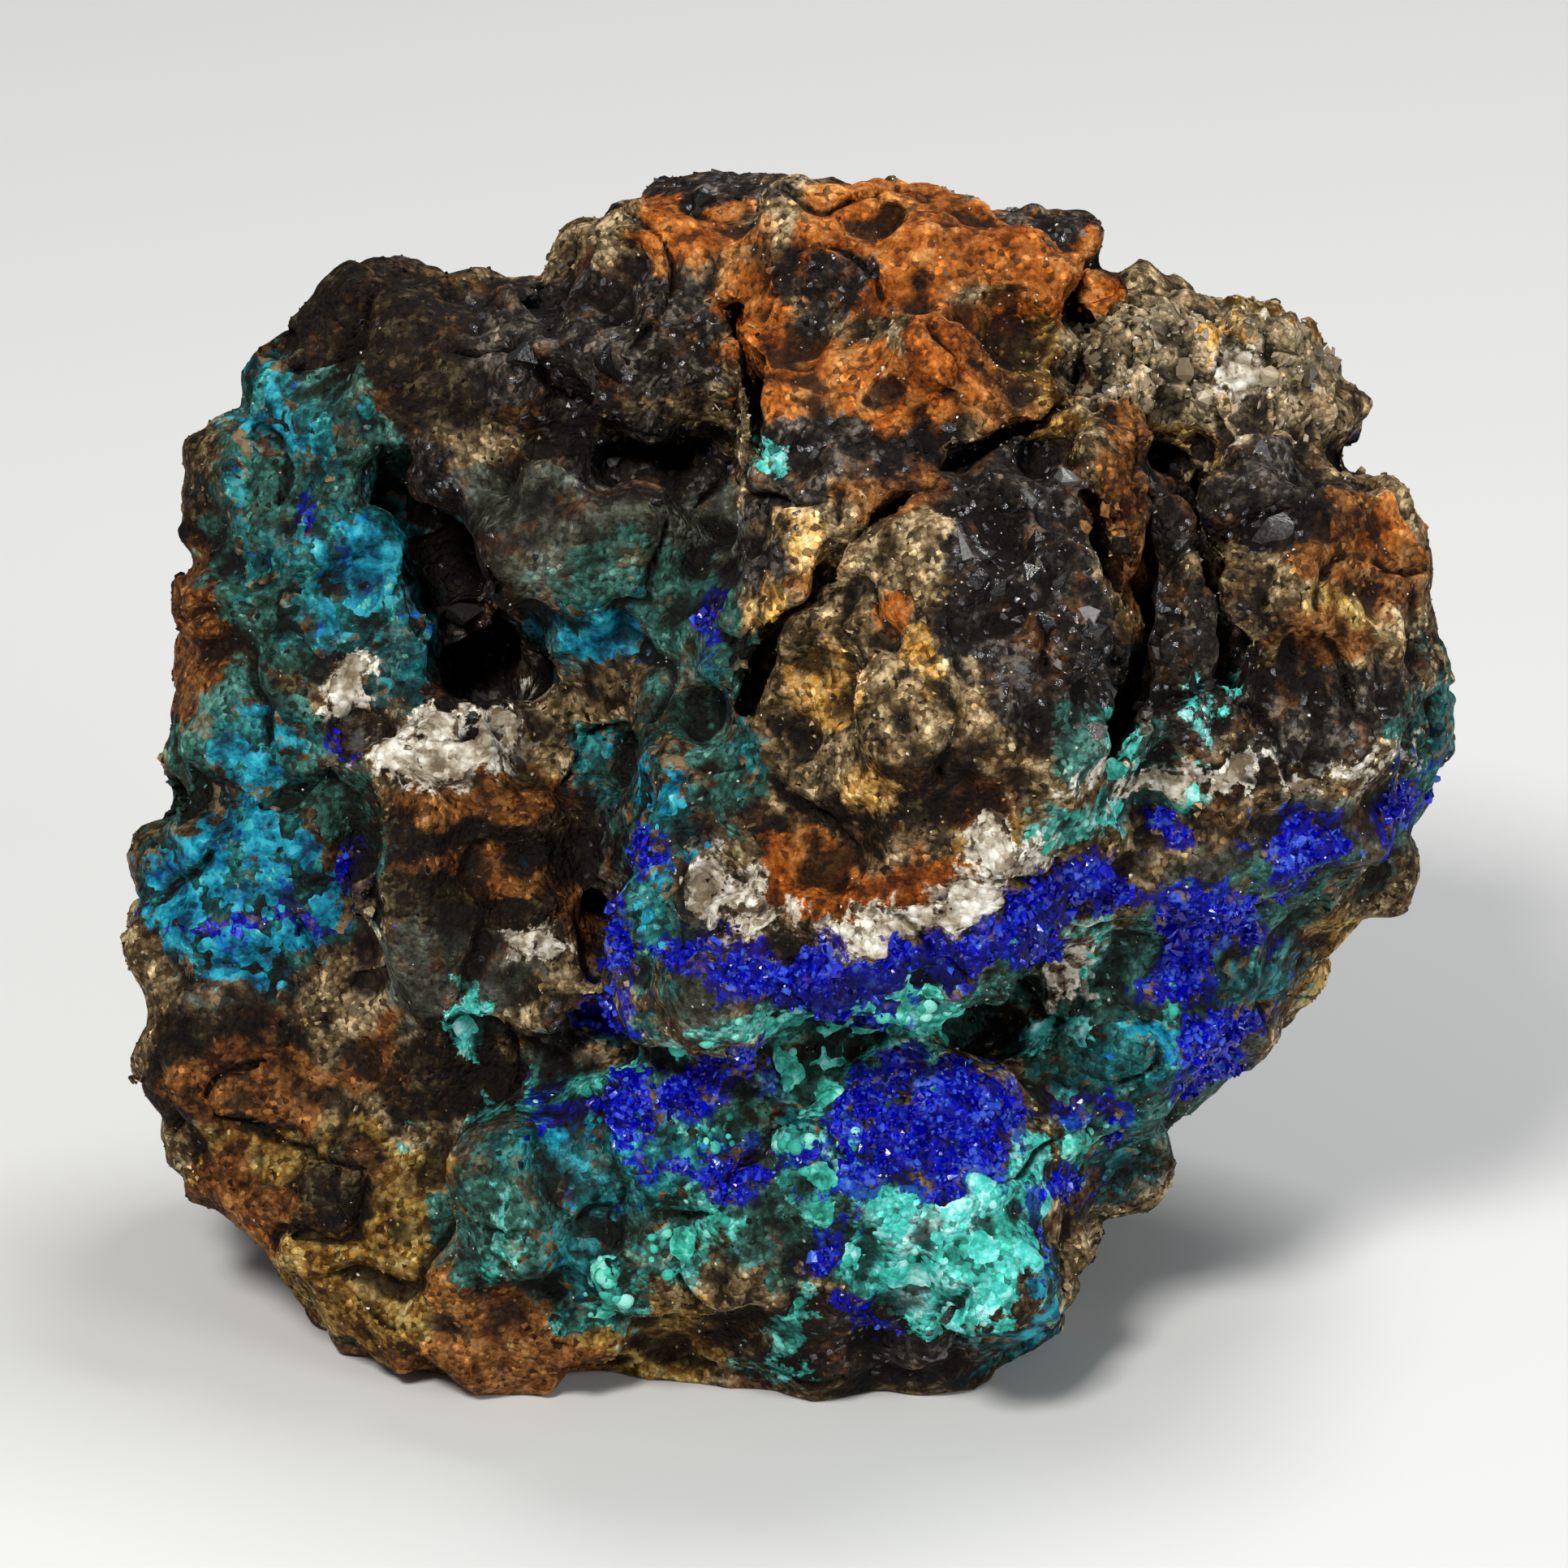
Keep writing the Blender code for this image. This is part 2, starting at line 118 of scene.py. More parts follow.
# Patches on the display face, as the camera sees it: right, up, half width, half height, and turn if any.
# They are in millimetres from the middle of the face, and degrees.
PATCHES = {
    "azurite": (
        (-4.8, -7.5, 2.0, 0.9), (-1.2, -9.0, 2.2, 1.3), (1.4, -9.2, 2.6, 1.5, 12), (4.6, -8.8, 2.8, 1.4, 12),
        (8.4, -8.0, 3.2, 1.1, 12), (11.9, -7.4, 1.6, 0.9, 8), (11.6, -5.8, 2.6, 1.2, 22),
        (14.6, -4.9, 1.9, 1.3, 10), (3.8, -10.2, 2.4, 0.8, 14), (-7.3, -15.0, 1.5, 1.9, -10),
        (-4.6, -14.6, 1.5, 0.9), (-2.4, -13.9, 2.2, 0.8, 10), (-11.4, -15.8, 0.6, 0.9),
        (-9.6, -15.1, 1.2, 0.5), (-4.0, -17.8, 2.4, 0.8, 10), (-1.5, -18.5, 1.7, 0.7),
        (1.2, -17.1, 1.5, 0.7, 30), (7.7, -15.8, 3.2, 2.8), (3.8, -14.4, 1.2, 1.4), (5.4, -13.1, 0.6, 1.0),
        (4.6, -16.7, 1.7, 1.4), (3.6, -18.4, 1.2, 1.6), (7.9, -18.9, 1.0, 0.9), (1.9, -21.9, 1.2, 1.1),
        (4.0, -24.8, 1.0, 0.8, 20), (13.4, -18.4, 1.3, 0.5, -8), (12.2, -20.6, 0.4, 1.8, 6),
        (13.4, -15.4, 0.5, 0.6), (15.0, -16.4, 0.4, 0.8), (19.8, -6.2, 2.4, 1.8, -10), (18.7, -8.7, 1.2, 1.6),
        (20.2, -12.2, 2.3, 1.4, 35), (24.2, -3.3, 2.5, 1.2, 14), (29.2, -0.5, 0.7, 1.6, -32),
        (18.0, -2.2, 0.7, 0.8), (-25.9, -6.6, 2.8, 0.5, 4), (-20.8, -4.3, 0.5, 1.4, -8),
        (-20.5, 1.9, 0.4, 0.6), (-6.7, -3.0, 0.7, 1.0, -10), (-7.7, -7.6, 0.7, 2.2, 6),
        (-8.2, -10.5, 1.1, 1.0), (-21.6, 11.9, 0.4, 1.0), (-3.6, 8.2, 0.5, 1.0),
    ),
    "malachite": (
        (-8.0, -13.6, 4.2, 0.5, 14), (0.0, -11.7, 4.4, 0.6, 14), (5.4, -10.4, 3.0, 1.0, 14),
        (6.9, -11.0, 1.8, 1.2), (1.7, -13.3, 1.6, 1.2), (0.6, -16.2, 1.7, 0.9, 12), (-2.6, -16.5, 1.3, 0.7),
        (1.3, -18.8, 1.1, 1.8), (-3.6, -20.5, 2.0, 1.3, -28), (-5.2, -22.5, 1.4, 1.2),
        (-8.7, -23.2, 1.2, 1.6), (-8.7, -24.9, 1.5, 0.7), (-0.3, -26.0, 1.0, 0.9), (-0.4, -27.5, 1.2, 0.5),
        (0.8, -24.6, 0.6, 0.8), (3.6, -16.6, 0.8, 0.7), (6.7, -13.5, 0.8, 0.8), (13.6, -17.0, 1.2, 1.1),
        (5.6, -21.3, 3.0, 2.2, -20), (18.9, -0.3, 0.9, 0.7), (18.2, -10.8, 0.9, 0.9),
        (14.6, -7.2, 0.8, 1.4, -28), (13.4, -2.2, 2.1, 0.9, 16), (-13.2, -21.6, 0.9, 1.6),
    ),
    "mint": (
        (7.5, -22.4, 4.2, 2.9, -28), (10.9, -19.6, 1.9, 3.2, 6), (17.2, -0.8, 1.7, 1.0, 12),
        (-1.0, 15.2, 0.9, 0.7, -30), (12.2, -11.2, 1.8, 0.9, 10), (20.0, 3.3, 0.5, 1.1),
        (15.4, 2.2, 0.7, 1.2), (-14.9, -11.4, 0.7, 1.1),
    ),
    "chrysocolla": (
        (-25.6, -5.3, 4.8, 4.3), (-25.2, 1.4, 2.5, 1.6), (-24.4, 18.0, 1.5, 2.8, 25), (-22.4, 16.3, 1.4, 1.9),
        (-25.9, 13.8, 1.2, 1.6), (-19.9, 9.9, 3.4, 4.0, -25), (-23.7, 10.4, 2.0, 1.4), (-17.6, 6.4, 1.7, 2.2),
        (-19.1, 17.0, 0.8, 0.9), (-9.3, 6.8, 2.6, 1.8), (-5.4, -0.9, 1.3, 2.6, 15), (-8.4, 1.2, 1.1, 1.2),
        (-6.8, -4.7, 1.0, 3.4, 6), (-2.3, 2.4, 0.6, 1.7, 10), (-7.4, -17.3, 4.4, 2.4),
        (-10.4, -16.8, 2.6, 1.5), (-9.8, -22.2, 1.8, 2.0), (16.4, -12.4, 2.6, 2.2),
        (22.4, -9.0, 2.4, 1.4, 30), (12.3, -23.8, 0.9, 2.8), (10.8, -26.2, 2.2, 0.8, 12),
        (30.8, 2.5, 0.6, 2.6), (-7.6, -11.8, 1.4, 0.6), (-4.3, -3.2, 1.0, 0.8, 40), (13.8, -14.0, 1.0, 1.4),
        (15.4, -17.6, 1.2, 2.2, -20), (1.0, -14.8, 1.4, 1.0),
    ),
    "sky": (
        (-25.6, -5.3, 5.4, 5.0), (-19.8, 9.6, 1.8, 2.6, -25), (-9.0, 6.4, 2.0, 1.4),
        (-5.4, -0.9, 1.4, 2.8, 15), (-24.0, 16.4, 1.2, 1.6, 20), (12.3, -23.8, 0.9, 2.8),
        (-25.2, 1.4, 1.6, 1.0), (16.8, -12.0, 1.4, 1.2), (-6.8, -6.0, 0.8, 1.6), (-8.6, -16.6, 2.0, 1.0),
        (-5.2, -1.4, 1.5, 4.6, 12), (-8.8, 4.4, 1.0, 1.6, 20),
    ),
    "cream": (
        (-16.2, 1.8, 3.6, 1.7, 8), (-20.0, 4.3, 1.3, 1.2), (-13.3, 2.8, 1.0, 1.0),
        (-3.2, -4.8, 2.0, 1.4, -32), (5.5, -6.4, 3.3, 1.2, 10), (8.6, -5.2, 1.9, 1.1, 38),
        (9.6, -3.2, 1.2, 1.6), (-11.4, -7.6, 0.9, 0.8), (11.8, -3.6, 1.0, 0.7, 20), (26.4, 0.6, 2.0, 0.5, 18),
        (-1.4, -6.5, 1.7, 0.6, 20), (21.4, 0.9, 1.4, 0.6, 20), (17.8, 0.2, 1.9, 0.9, 14),
        (21.4, 19.4, 1.4, 1.6), (14.4, 0.4, 1.2, 0.6, 20), (12.6, -9.6, 1.0, 0.5, 30),
        (13.9, -8.2, 0.5, 1.2, -28),
    ),
    "ochre": (
        (-4.4, 26.0, 3.2, 2.0), (5.1, 25.2, 4.8, 3.4), (9.8, 25.4, 2.8, 2.4), (12.6, 23.6, 2.2, 2.2),
        (-1.4, 21.4, 2.2, 2.8, 15), (2.0, 19.9, 3.0, 1.4), (7.3, 20.6, 1.6, 1.3), (4.8, 18.2, 5.4, 1.8),
        (4.9, 8.4, 1.0, 1.1), (1.2, -4.7, 3.2, 2.0), (5.8, -4.5, 2.8, 1.0, 8), (7.9, -18.0, 0.5, 0.3),
        (28.0, 11.8, 1.0, 1.2), (10.2, 21.8, 1.5, 0.7, 30),
    ),
    "rust": (
        (9.2, 18.0, 2.2, 1.6), (15.8, 14.4, 1.6, 3.8, 8), (16.4, 9.8, 1.0, 4.0, 4), (25.9, 11.4, 2.6, 2.0),
        (28.5, 9.3, 1.6, 2.0, -30), (25.5, 7.0, 2.0, 1.4), (20.2, 7.0, 0.5, 1.4), (-24.2, -13.8, 4.2, 2.0),
        (-13.8, -27.6, 7.4, 1.4, -3), (-27.6, 6.6, 1.8, 4.4), (-9.4, 15.0, 1.8, 0.8),
        (-19.2, -12.0, 1.2, 2.0), (-25.4, -19.8, 2.6, 2.2, -45), (-9.8, -6.6, 0.8, 1.6),
        (3.4, 14.2, 1.6, 0.6, 30), (-13.8, -0.6, 4.6, 1.0, 5), (-14.4, -4.0, 4.0, 0.7, -10),
        (5.4, 14.0, 2.2, 1.2, 30), (9.0, -1.6, 2.0, 1.6), (0.4, 10.0, 0.9, 1.2),
        (-14.0, -24.4, 4.0, 1.6, -20),
    ),
    # Umber is dark brown earth and also painted shade: on the upper left, and along the azurite band under
    # the ledge, from (2.2, -9.9) to (12.4, -6.6).
    "umber_and_shade": (
        (-13.8, -3.4, 5.6, 3.8), (-18.6, 20.4, 7.2, 4.4, 10), (-25.2, -13.4, 4.6, 3.2),
        (-15.4, -13.4, 3.6, 2.0), (-28.2, 6.8, 3.0, 5.6), (-21.0, -18.6, 2.4, 3.2, -30),
        (3.4, -1.4, 4.4, 1.2, 10), (-19.6, 5.6, 1.4, 1.6), (-14.2, 6.0, 3.2, 3.2), (0.6, -3.0, 2.0, 1.2),
        (6.6, 0.4, 2.8, 1.3, 10), (22.0, 0.8, 4.0, 1.4, 10), (4.0, -26.2, 7.8, 2.2),
        (2.2, -9.9, 4.8, 1.5, 14), (7.0, -8.9, 3.8, 1.3, 12), (12.4, -6.6, 2.2, 1.1, 20),
        (-5.0, -15.6, 1.4, 0.7),
    ),
    # Dark patches are dark ore, but those along the left cleft, at (-16.2, 10.6) and (-13.6, 5.6), are
    # painted shadow.
    "dark": (
        (-3.6, 28.2, 3.8, 1.0), (12.6, 26.4, 2.8, 0.9, -20), (2.8, 23.6, 1.4, 1.5), (1.3, 22.0, 1.0, 0.7),
        (2.8, 16.2, 4.6, 1.6, -6), (0.0, 13.8, 2.4, 2.0), (-10.4, 20.3, 4.6, 4.4),
        (-6.3, 20.8, 3.2, 3.4, -20), (-6.6, 14.9, 4.4, 1.4), (10.7, 12.3, 3.8, 4.2, 20),
        (11.1, 8.2, 3.8, 3.6), (13.0, 4.6, 3.4, 3.4), (22.3, 13.8, 3.2, 2.6), (19.2, 5.1, 3.6, 3.4),
        (25.5, 3.3, 4.4, 2.2, 10), (18.0, 10.8, 1.0, 5.4), (-17.4, 13.4, 3.0, 3.2), (-13.6, 5.6, 2.6, 2.8),
        (-8.4, -3.6, 1.2, 4.2), (-9.8, -11.2, 1.6, 1.4), (6.0, -26.4, 4.0, 1.6), (9.0, -11.8, 2.2, 0.8),
        (-0.8, -14.0, 1.6, 0.8), (-1.6, 10.6, 1.8, 1.0), (-16.2, 10.6, 1.7, 4.4, -12),
    ),
    "grey": (
        (-8.9, 11.4, 7.0, 4.6, -6), (-4.0, -9.8, 2.6, 2.1), (-12.6, -18.4, 3.6, 4.0), (-15.3, -8.8, 4.2, 2.8),
        (23.0, -3.6, 7.4, 1.8, 14), (17.6, -13.2, 6.0, 4.6, 40), (-4.6, 4.6, 2.4, 3.6, -10),
        (-3.6, -10.6, 2.6, 2.0), (-11.6, -13.2, 2.6, 1.2, 10), (-26.6, -11.0, 1.8, 2.6),
    ),
    "teal": (
        (-6.9, 8.6, 4.2, 3.0, -20), (-3.8, 5.4, 2.6, 4.0, -10), (-7.4, -17.0, 6.4, 4.0),
        (16.6, -12.0, 5.4, 4.6, 40), (-22.4, 12.6, 5.0, 7.4), (-24.8, -2.6, 5.4, 7.4),
        (-6.2, -3.6, 2.2, 6.6, 6), (2.6, -18.0, 8.4, 5.4), (5.6, -9.8, 7.6, 1.9, 12), (-2.6, 0.8, 1.4, 3.0),
        (21.4, -5.6, 5.6, 2.2, 20), (-9.2, -22.6, 3.0, 3.4), (15.2, 1.6, 3.0, 2.0, 10),
        (-13.8, -20.6, 2.8, 3.2), (30.2, 0.8, 1.8, 3.4),
    ),
    "tan": (
        (-20.2, -20.6, 8.6, 5.2, -22), (-8.2, -26.0, 6.0, 2.4), (26.0, 8.4, 1.8, 1.6), (9.2, -2.2, 2.2, 1.8),
        (11.0, 17.6, 2.4, 2.4), (-12.4, 0.0, 2.4, 1.2), (20.6, 19.4, 5.6, 3.8), (24.8, -8.4, 2.8, 1.7, 52),
        (11.4, 21.2, 2.6, 2.6), (14.2, -9.2, 1.4, 0.9, 20), (16.8, -14.4, 1.6, 0.8, 40),
        (2.2, -19.4, 1.2, 0.8),
    ),
    "amber": (
        (1.6, 4.8, 1.6, 2.2, 8), (6.2, 6.2, 1.0, 1.4), (1.0, 11.6, 1.0, 1.3, 30), (-1.2, 8.6, 0.9, 1.2),
        (-12.6, 2.4, 0.6, 0.8), (20.6, 20.2, 1.6, 2.2), (3.4, -0.6, 1.0, 1.0), (26.6, -8.6, 2.0, 1.0, 60),
    ),
    "quartz": (
        (20.4, 19.6, 5.8, 3.4, -14), (15.0, 20.0, 2.4, 2.6),
    ),
}

# How far a patch's edge strays from its ellipse: by how much, over what length.
EDGE_STRAYS = ((1.0, 3.4), (0.6, 1.3), (0.3, 0.55))

# Lines on the display face where the rock stands out more, which closes the cracks, or is cut back, which
# deepens hollows and notches: height in mm, half width, and the line's points, right and up.
RELIEF_LINES = (
    (0.50, 0.85, ((12.6, 16.9), (9.0, 15.2), (5.4, 13.0), (2.8, 10.6), (0.6, 7.6), (-0.9, 5.2), (-1.6, 3.2))),
    (0.40, 0.85, ((16.6, 13.2), (16.5, 9.6), (16.0, 6.4), (15.2, 3.6), (14.4, 1.6))),
    (0.30, 0.85, ((18.4, 14.4), (19.0, 11.2), (19.4, 8.2), (19.9, 5.2))),
    (0.70, 0.95, ((-2.8, 21.8), (-1.6, 19.2), (-0.9, 16.6), (-1.2, 14.6))),
    (0.55, 0.85, ((14.0, 23.4), (13.4, 20.6), (12.9, 18.2))),
    (-1.3, 1.2, ((-16.2, 12.0), (-15.0, 8.2), (-13.8, 5.4))),
    (0.9, 1.8, ((-17.6, 15.2), (-17.0, 13.0))),
    (-1.3, 1.1, ((-12.6, 25.6), (-11.4, 23.0))),
    (-1.2, 0.7, ((16.0, 25.4), (14.8, 23.4), (13.8, 21.6))),
    (-1.0, 1.0, ((28.6, 16.0), (26.4, 15.2), (24.0, 15.4))),
    (-1.0, 1.0, ((-31.0, -0.4), (-27.0, -0.6), (-21.6, -0.2))),
    (-0.9, 0.8, ((-20.4, -1.0), (-19.8, -5.6), (-19.6, -9.4))),
    (-0.7, 0.7, ((5.0, 27.0), (3.4, 24.2))),
)

# Minerals that turn up on the stone's back and sides: over what length, and how rarely.
BACK_SPREAD = {
    "azurite": (9.0, 0.60), "malachite": (8.0, 0.62), "mint": (6.0, 0.80), "chrysocolla": (12.0, 0.46),
    "sky": (8.0, 0.60), "cream": (6.0, 0.78), "ochre": (13.0, 0.30), "rust": (11.0, 0.12),
    "umber_and_shade": (14.0, 0.05), "dark": (12.0, 0.16), "grey": (14.0, 0.02), "teal": (13.0, 0.28),
    "tan": (12.0, 0.04), "amber": (5.0, 0.65), "quartz": (10.0, 0.60),
}
CRUSTS = ("azurite", "malachite", "mint", "chrysocolla", "sky", "cream")

# The studio's lights: name, place in m, width in m, power in W and colour.
LIGHTS = (
    ("key", (-0.20, -0.50, 0.56), 0.16, 6.0, (1.0, 0.98, 0.95)),
    ("fill", (0.55, -0.50, 0.28), 0.30, 2.4, (0.95, 0.98, 1.0)),
    ("top", (0.18, 0.22, 0.60), 0.25, 2.4, (1.0, 1.0, 1.0)),
)
LIGHTS_AIM = (0.0, 0.0, 0.028)
STUDIO_COLOR = (0.92, 0.96, 1.0, 1.0)
STUDIO_STRENGTH = 0.20
FLOOR_SIZE = 3.0
FLOOR_COLOR = (0.62, 0.62, 0.61)
FLOOR_ROUGHNESS = 0.7

# Each crust: the minerals whose patches it covers, its most triangles, and its slot in the record.
CRUST_PIECES = (
    ("azurite", ("azurite",), 90000, "azurite"),
    ("malachite", ("malachite", "mint"), 90000, "malachite"),
    ("chrysocolla", ("chrysocolla", "sky"), 120000, "chrysocolla"),
    ("cream", ("cream",), 30000, "quartz"),
)

# Loose crystals: how many, their smallest, typical and largest size in mm, the seed, how far they lean, how
# slim they can be, how high their middle is over the ground as a share of their size, and their slot.
STREWN = {
    "rock_grains": (10500, (0.20, 0.38, 0.85), 12, 0.4, (0.7, 1.2), -0.24, "ore_rock"),
    "azurite_crystals": (3600, (0.12, 0.26, 0.6), 22, 0.6, (0.5, 1.2), 0.4, "azurite"),
    "malachite_balls": (280, (0.25, 0.50, 1.0), 32, 0.3, (0.8, 1.15), -0.22, "malachite"),
    "quartz_crystals": (900, (0.25, 0.6, 1.4), 42, 0.8, (0.6, 1.2), -0.2, "quartz"),
    "dark_crystals": (800, (0.30, 0.65, 1.3), 52, 0.5, (0.7, 1.3), -0.26, "dark_ore"),
    "dark_facets": (190, (0.7, 1.3, 2.3), 57, 0.3, (0.7, 1.3), -0.28, "dark_ore"),
    "sparkling_grains": (2600, (0.10, 0.15, 0.30), 62, 1.0, (0.6, 1.2), 0.05, "quartz"),
}

# How strongly rough surfaces reflect.
DULL = 0.12

# The rock's colours, zone by zone, each from its darkest grains to its lightest. A later zone covers an
# earlier one. The number is how far the zone's edge frays.
PLAIN_ROCK = ((0.007, 0.004, 0.0015), (0.052, 0.032, 0.013), (0.175, 0.120, 0.055), (0.50, 0.38, 0.215))
ZONES = (
    ("grey", 0.35,
     ((0.012, 0.012, 0.008), (0.036, 0.036, 0.026), (0.068, 0.075, 0.058), (0.16, 0.18, 0.15))),
    ("tan", 0.40,
     ((0.032, 0.010, 0.001), (0.120, 0.052, 0.005), (0.27, 0.165, 0.038), (0.45, 0.35, 0.130))),
    # Umber's tones are dark brown earth and partly painted shade.
    ("umber_and_shade", 0.42,
     ((0.001, 0.0005, 0.0003), (0.005, 0.002, 0.001), (0.015, 0.009, 0.003), (0.06, 0.045, 0.021))),
    ("rust", 0.40,
     ((0.016, 0.004, 0.0005), (0.090, 0.030, 0.005), (0.19, 0.072, 0.016), (0.31, 0.145, 0.047))),
    ("ochre", 0.38,
     ((0.11, 0.024, 0.001), (0.26, 0.065, 0.006), (0.37, 0.118, 0.020), (0.50, 0.22, 0.065))),
    ("dark", 0.60,
     ((0.0015, 0.001, 0.001), (0.007, 0.005, 0.004), (0.026, 0.021, 0.016), (0.13, 0.11, 0.088))),
    ("teal", 0.75,
     ((0.005, 0.012, 0.008), (0.015, 0.047, 0.035), (0.026, 0.100, 0.080), (0.08, 0.22, 0.185))),
    ("quartz", 0.25,
     ((0.022, 0.016, 0.008), (0.13, 0.098, 0.050), (0.28, 0.21, 0.115), (0.54, 0.42, 0.26))),
    ("amber", 0.30,
     ((0.12, 0.050, 0.006), (0.38, 0.190, 0.034), (0.60, 0.360, 0.120), (0.78, 0.54, 0.260))),
)
GLOSSY_DOME = (11.5, 8.5, 4.0, 5.0)   # where most of the dark facets are, written as a patch
CHALKY = ("ochre", "grey")   # the zones whose grains hardly differ from each other


def clear_start():
    """Leaves only what the frame brings in."""
    for old in list(bpy.data.objects):
        bpy.data.objects.remove(old, do_unlink=True)


# Patterns in space

LATTICE = 64
RANDOM = np.random.default_rng(3).random((LATTICE ** 3, 3), dtype=np.float32)
SEED_STEP = np.array((7, 19, 37))


def lattice_numbers(cell, seed):
    """Three numbers from 0 to 1 for each cell of a lattice, the same each run."""
    wrapped = (cell + SEED_STEP * seed) & (LATTICE - 1)
    return RANDOM[(wrapped[:, 0] * LATTICE + wrapped[:, 1]) * LATTICE + wrapped[:, 2]]


def ripple(points, length, seed):
    """Smooth noise from about -1 to 1 whose lumps are about this long."""
    at = points / length
    cell = np.floor(at).astype(np.int64)
    part = (at - cell).astype(np.float32)
    fade = part ** 3 * (part * (part * 6 - 15) + 10)
    total = np.zeros(len(points), dtype=np.float32)
    for corner in np.ndindex(2, 2, 2):
        slope = lattice_numbers(cell + corner, seed) * 2 - 1
        weight = np.where(corner, fade, 1 - fade).prod(axis=1)
        total += weight * (slope * (part - np.array(corner, dtype=np.float32))).sum(axis=1)
    return total * 1.7


def rubble(points, length, seed, octaves=3):
    """Noise with finer and finer detail."""
    return sum(ripple(points, length / 2 ** octave, seed + octave) / 2 ** octave for octave in range(octaves))


def near_grains(points, width, seed):
    """For each of the grains round every point: the way from its centre, and its three numbers."""
    at = (points / width).astype(np.float32)
    cell = np.floor(at).astype(np.int64)
    part = at - cell.astype(np.float32)
    for step in np.ndindex(3, 3, 3):
        away = np.array(step) - 1
        numbers = lattice_numbers(cell + away, seed)
        yield part - away.astype(np.float32) - numbers, numbers


def chipped(points, width, seed, roundness=0.55, lean=1.0):
    """Height of a surface of flat-topped grains that lean different ways and meet in sharp grooves."""
    height = np.full(len(points), -FAR, dtype=np.float32)
    for away, numbers in near_grains(points, width, seed):
        slope = (numbers[:, [1, 2, 0]] - 0.5) * lean
        top = 0.5 * numbers[:, 0] + (slope * away).sum(axis=1) - roundness * (away ** 2).sum(axis=1)
        height = np.maximum(height, top)
    return height - 0.25


def knobs(points, width, seed):
    """Height of a surface of round lumps grown against each other."""
    return chipped(points, width, seed, 1.2, 0.0)


def smooth_step(value, low, high):
    t = np.clip((value - low) / (high - low), 0, 1)
    return t * t * (3 - 2 * t)


# Where each mineral is

def display_place(points):
    """Where points lie on the display face as the camera sees it, right and up, and how near to it."""
    tilt = math.radians(90 - LEAN)
    away = points - np.array(DISPLAY_CENTRE, dtype=np.float32)
    up = away[:, 1] * math.cos(tilt) + away[:, 2] * math.sin(tilt)
    depth = away[:, 2] * math.cos(tilt) - away[:, 1] * math.sin(tilt)
    spread = CAMERA_DISTANCE / (CAMERA_DISTANCE - depth)
    return away[:, 0] * spread, up * spread, depth


def inside_patches(right, up, patches):
    """How far inside the nearest patch each point lies, in mm, and less than nothing outside."""
    inside = np.full(len(right), -FAR, dtype=np.float32)
    for u, v, half_width, half_height, *turn in patches:
        angle = math.radians(sum(turn))
        cosine, sine = math.cos(angle), math.sin(angle)
        along = (right - u) * cosine + (up - v) * sine
        across = (up - v) * cosine - (right - u) * sine
        reach = np.hypot(along / half_width, across / half_height)
        inside = np.maximum(inside, (1 - reach) * min(half_width, half_height))
    return inside


def off_line(right, up, line):
    """How far each place is from a chain of straight stretches."""
    nearest = np.full(len(right), FAR, dtype=np.float32)
    for (u, v), (next_u, next_v) in zip(line, line[1:]):
        run, rise = next_u - u, next_v - v
        share = np.clip(((right - u) * run + (up - v) * rise) / (run ** 2 + rise ** 2), 0, 1)
        nearest = np.minimum(nearest, np.hypot(right - u - share * run, up - v - share * rise))
    return nearest


def mineral_fields(points):
    """For each mineral, how far inside its patches each point lies, in mm."""
    right, up, depth = display_place(points)
    for number, (reach, length) in enumerate(EDGE_STRAYS):
        right = right + reach * ripple(points, length, 20 + number)
        up = up + reach * ripple(points, length, 40 + number)
    strayed = depth + 4.0 * rubble(points, 9.0, 60)
    behind = 1 - smooth_step(strayed, FRONT_ENDS - FRONT_FADE, FRONT_ENDS)
    fields = {}
    for number, (mineral, patches) in enumerate(PATCHES.items()):
        length, rarity = BACK_SPREAD[mineral]
        front = inside_patches(right, up, patches)
        back = (rubble(points, length, 70 + 5 * number) - rarity) * length * 0.35
        fields[mineral] = front * (1 - behind) + back * behind
    return fields


# Meshes

def read(items, name, width=1, kind=np.float32):
    """One property of all items, in rows of this width."""
    values = np.empty(len(items) * width, dtype=kind)
    items.foreach_get(name, values)
    return values.reshape(-1, width) if width > 1 else values


def mesh_arrays(mesh):
    """A mesh's points in mm and its outward directions."""
    return read(mesh.vertices, "co", 3) / MM, read(mesh.vertex_normals, "vector", 3)


def set_points(mesh, points):
    """Puts a mesh's points at these places in mm, none of them under the surface that the stone lies on."""
    points[:, 2] = np.maximum(points[:, 2], 0.0)
    mesh.vertices.foreach_set("co", (points * MM).astype(np.float32).ravel())
    mesh.update()


def set_attribute(mesh, name, values):
    attribute = mesh.attributes.get(name) or mesh.attributes.new(name, "FLOAT", "POINT")
    attribute.data.foreach_set("value", values.astype(np.float32))


def get_attribute(mesh, name):
    return read(mesh.attributes[name].data, "value")


def set_fields(mesh, fields):
    """Keeps how far inside each mineral the points are, as attributes for the materials."""
    for mineral, field in fields.items():
        set_attribute(mesh, mineral, np.clip(0.5 + 0.5 * field / FIELD_REACH, 0, 1))


def get_field(mesh, mineral):
    """How far inside a mineral each point is, in mm, up to the reach of the attribute."""
    return (get_attribute(mesh, mineral) - 0.5) * 2 * FIELD_REACH


def bake(piece):
    """Makes the piece's mesh the one that its modifiers give, and drops the modifiers."""
    bpy.context.view_layer.update()
    evaluated = piece.evaluated_get(bpy.context.evaluated_depsgraph_get())
    baked = bpy.data.meshes.new_from_object(evaluated)
    piece.modifiers.clear()
    piece.data = baked


def new_piece(name, mesh):
    mesh.name = name
    piece = bpy.data.objects.new(name, mesh)
    bpy.context.scene.collection.objects.link(piece)
    return piece


def triangle_count(mesh):
    return len(mesh.loops) - 2 * len(mesh.polygons)


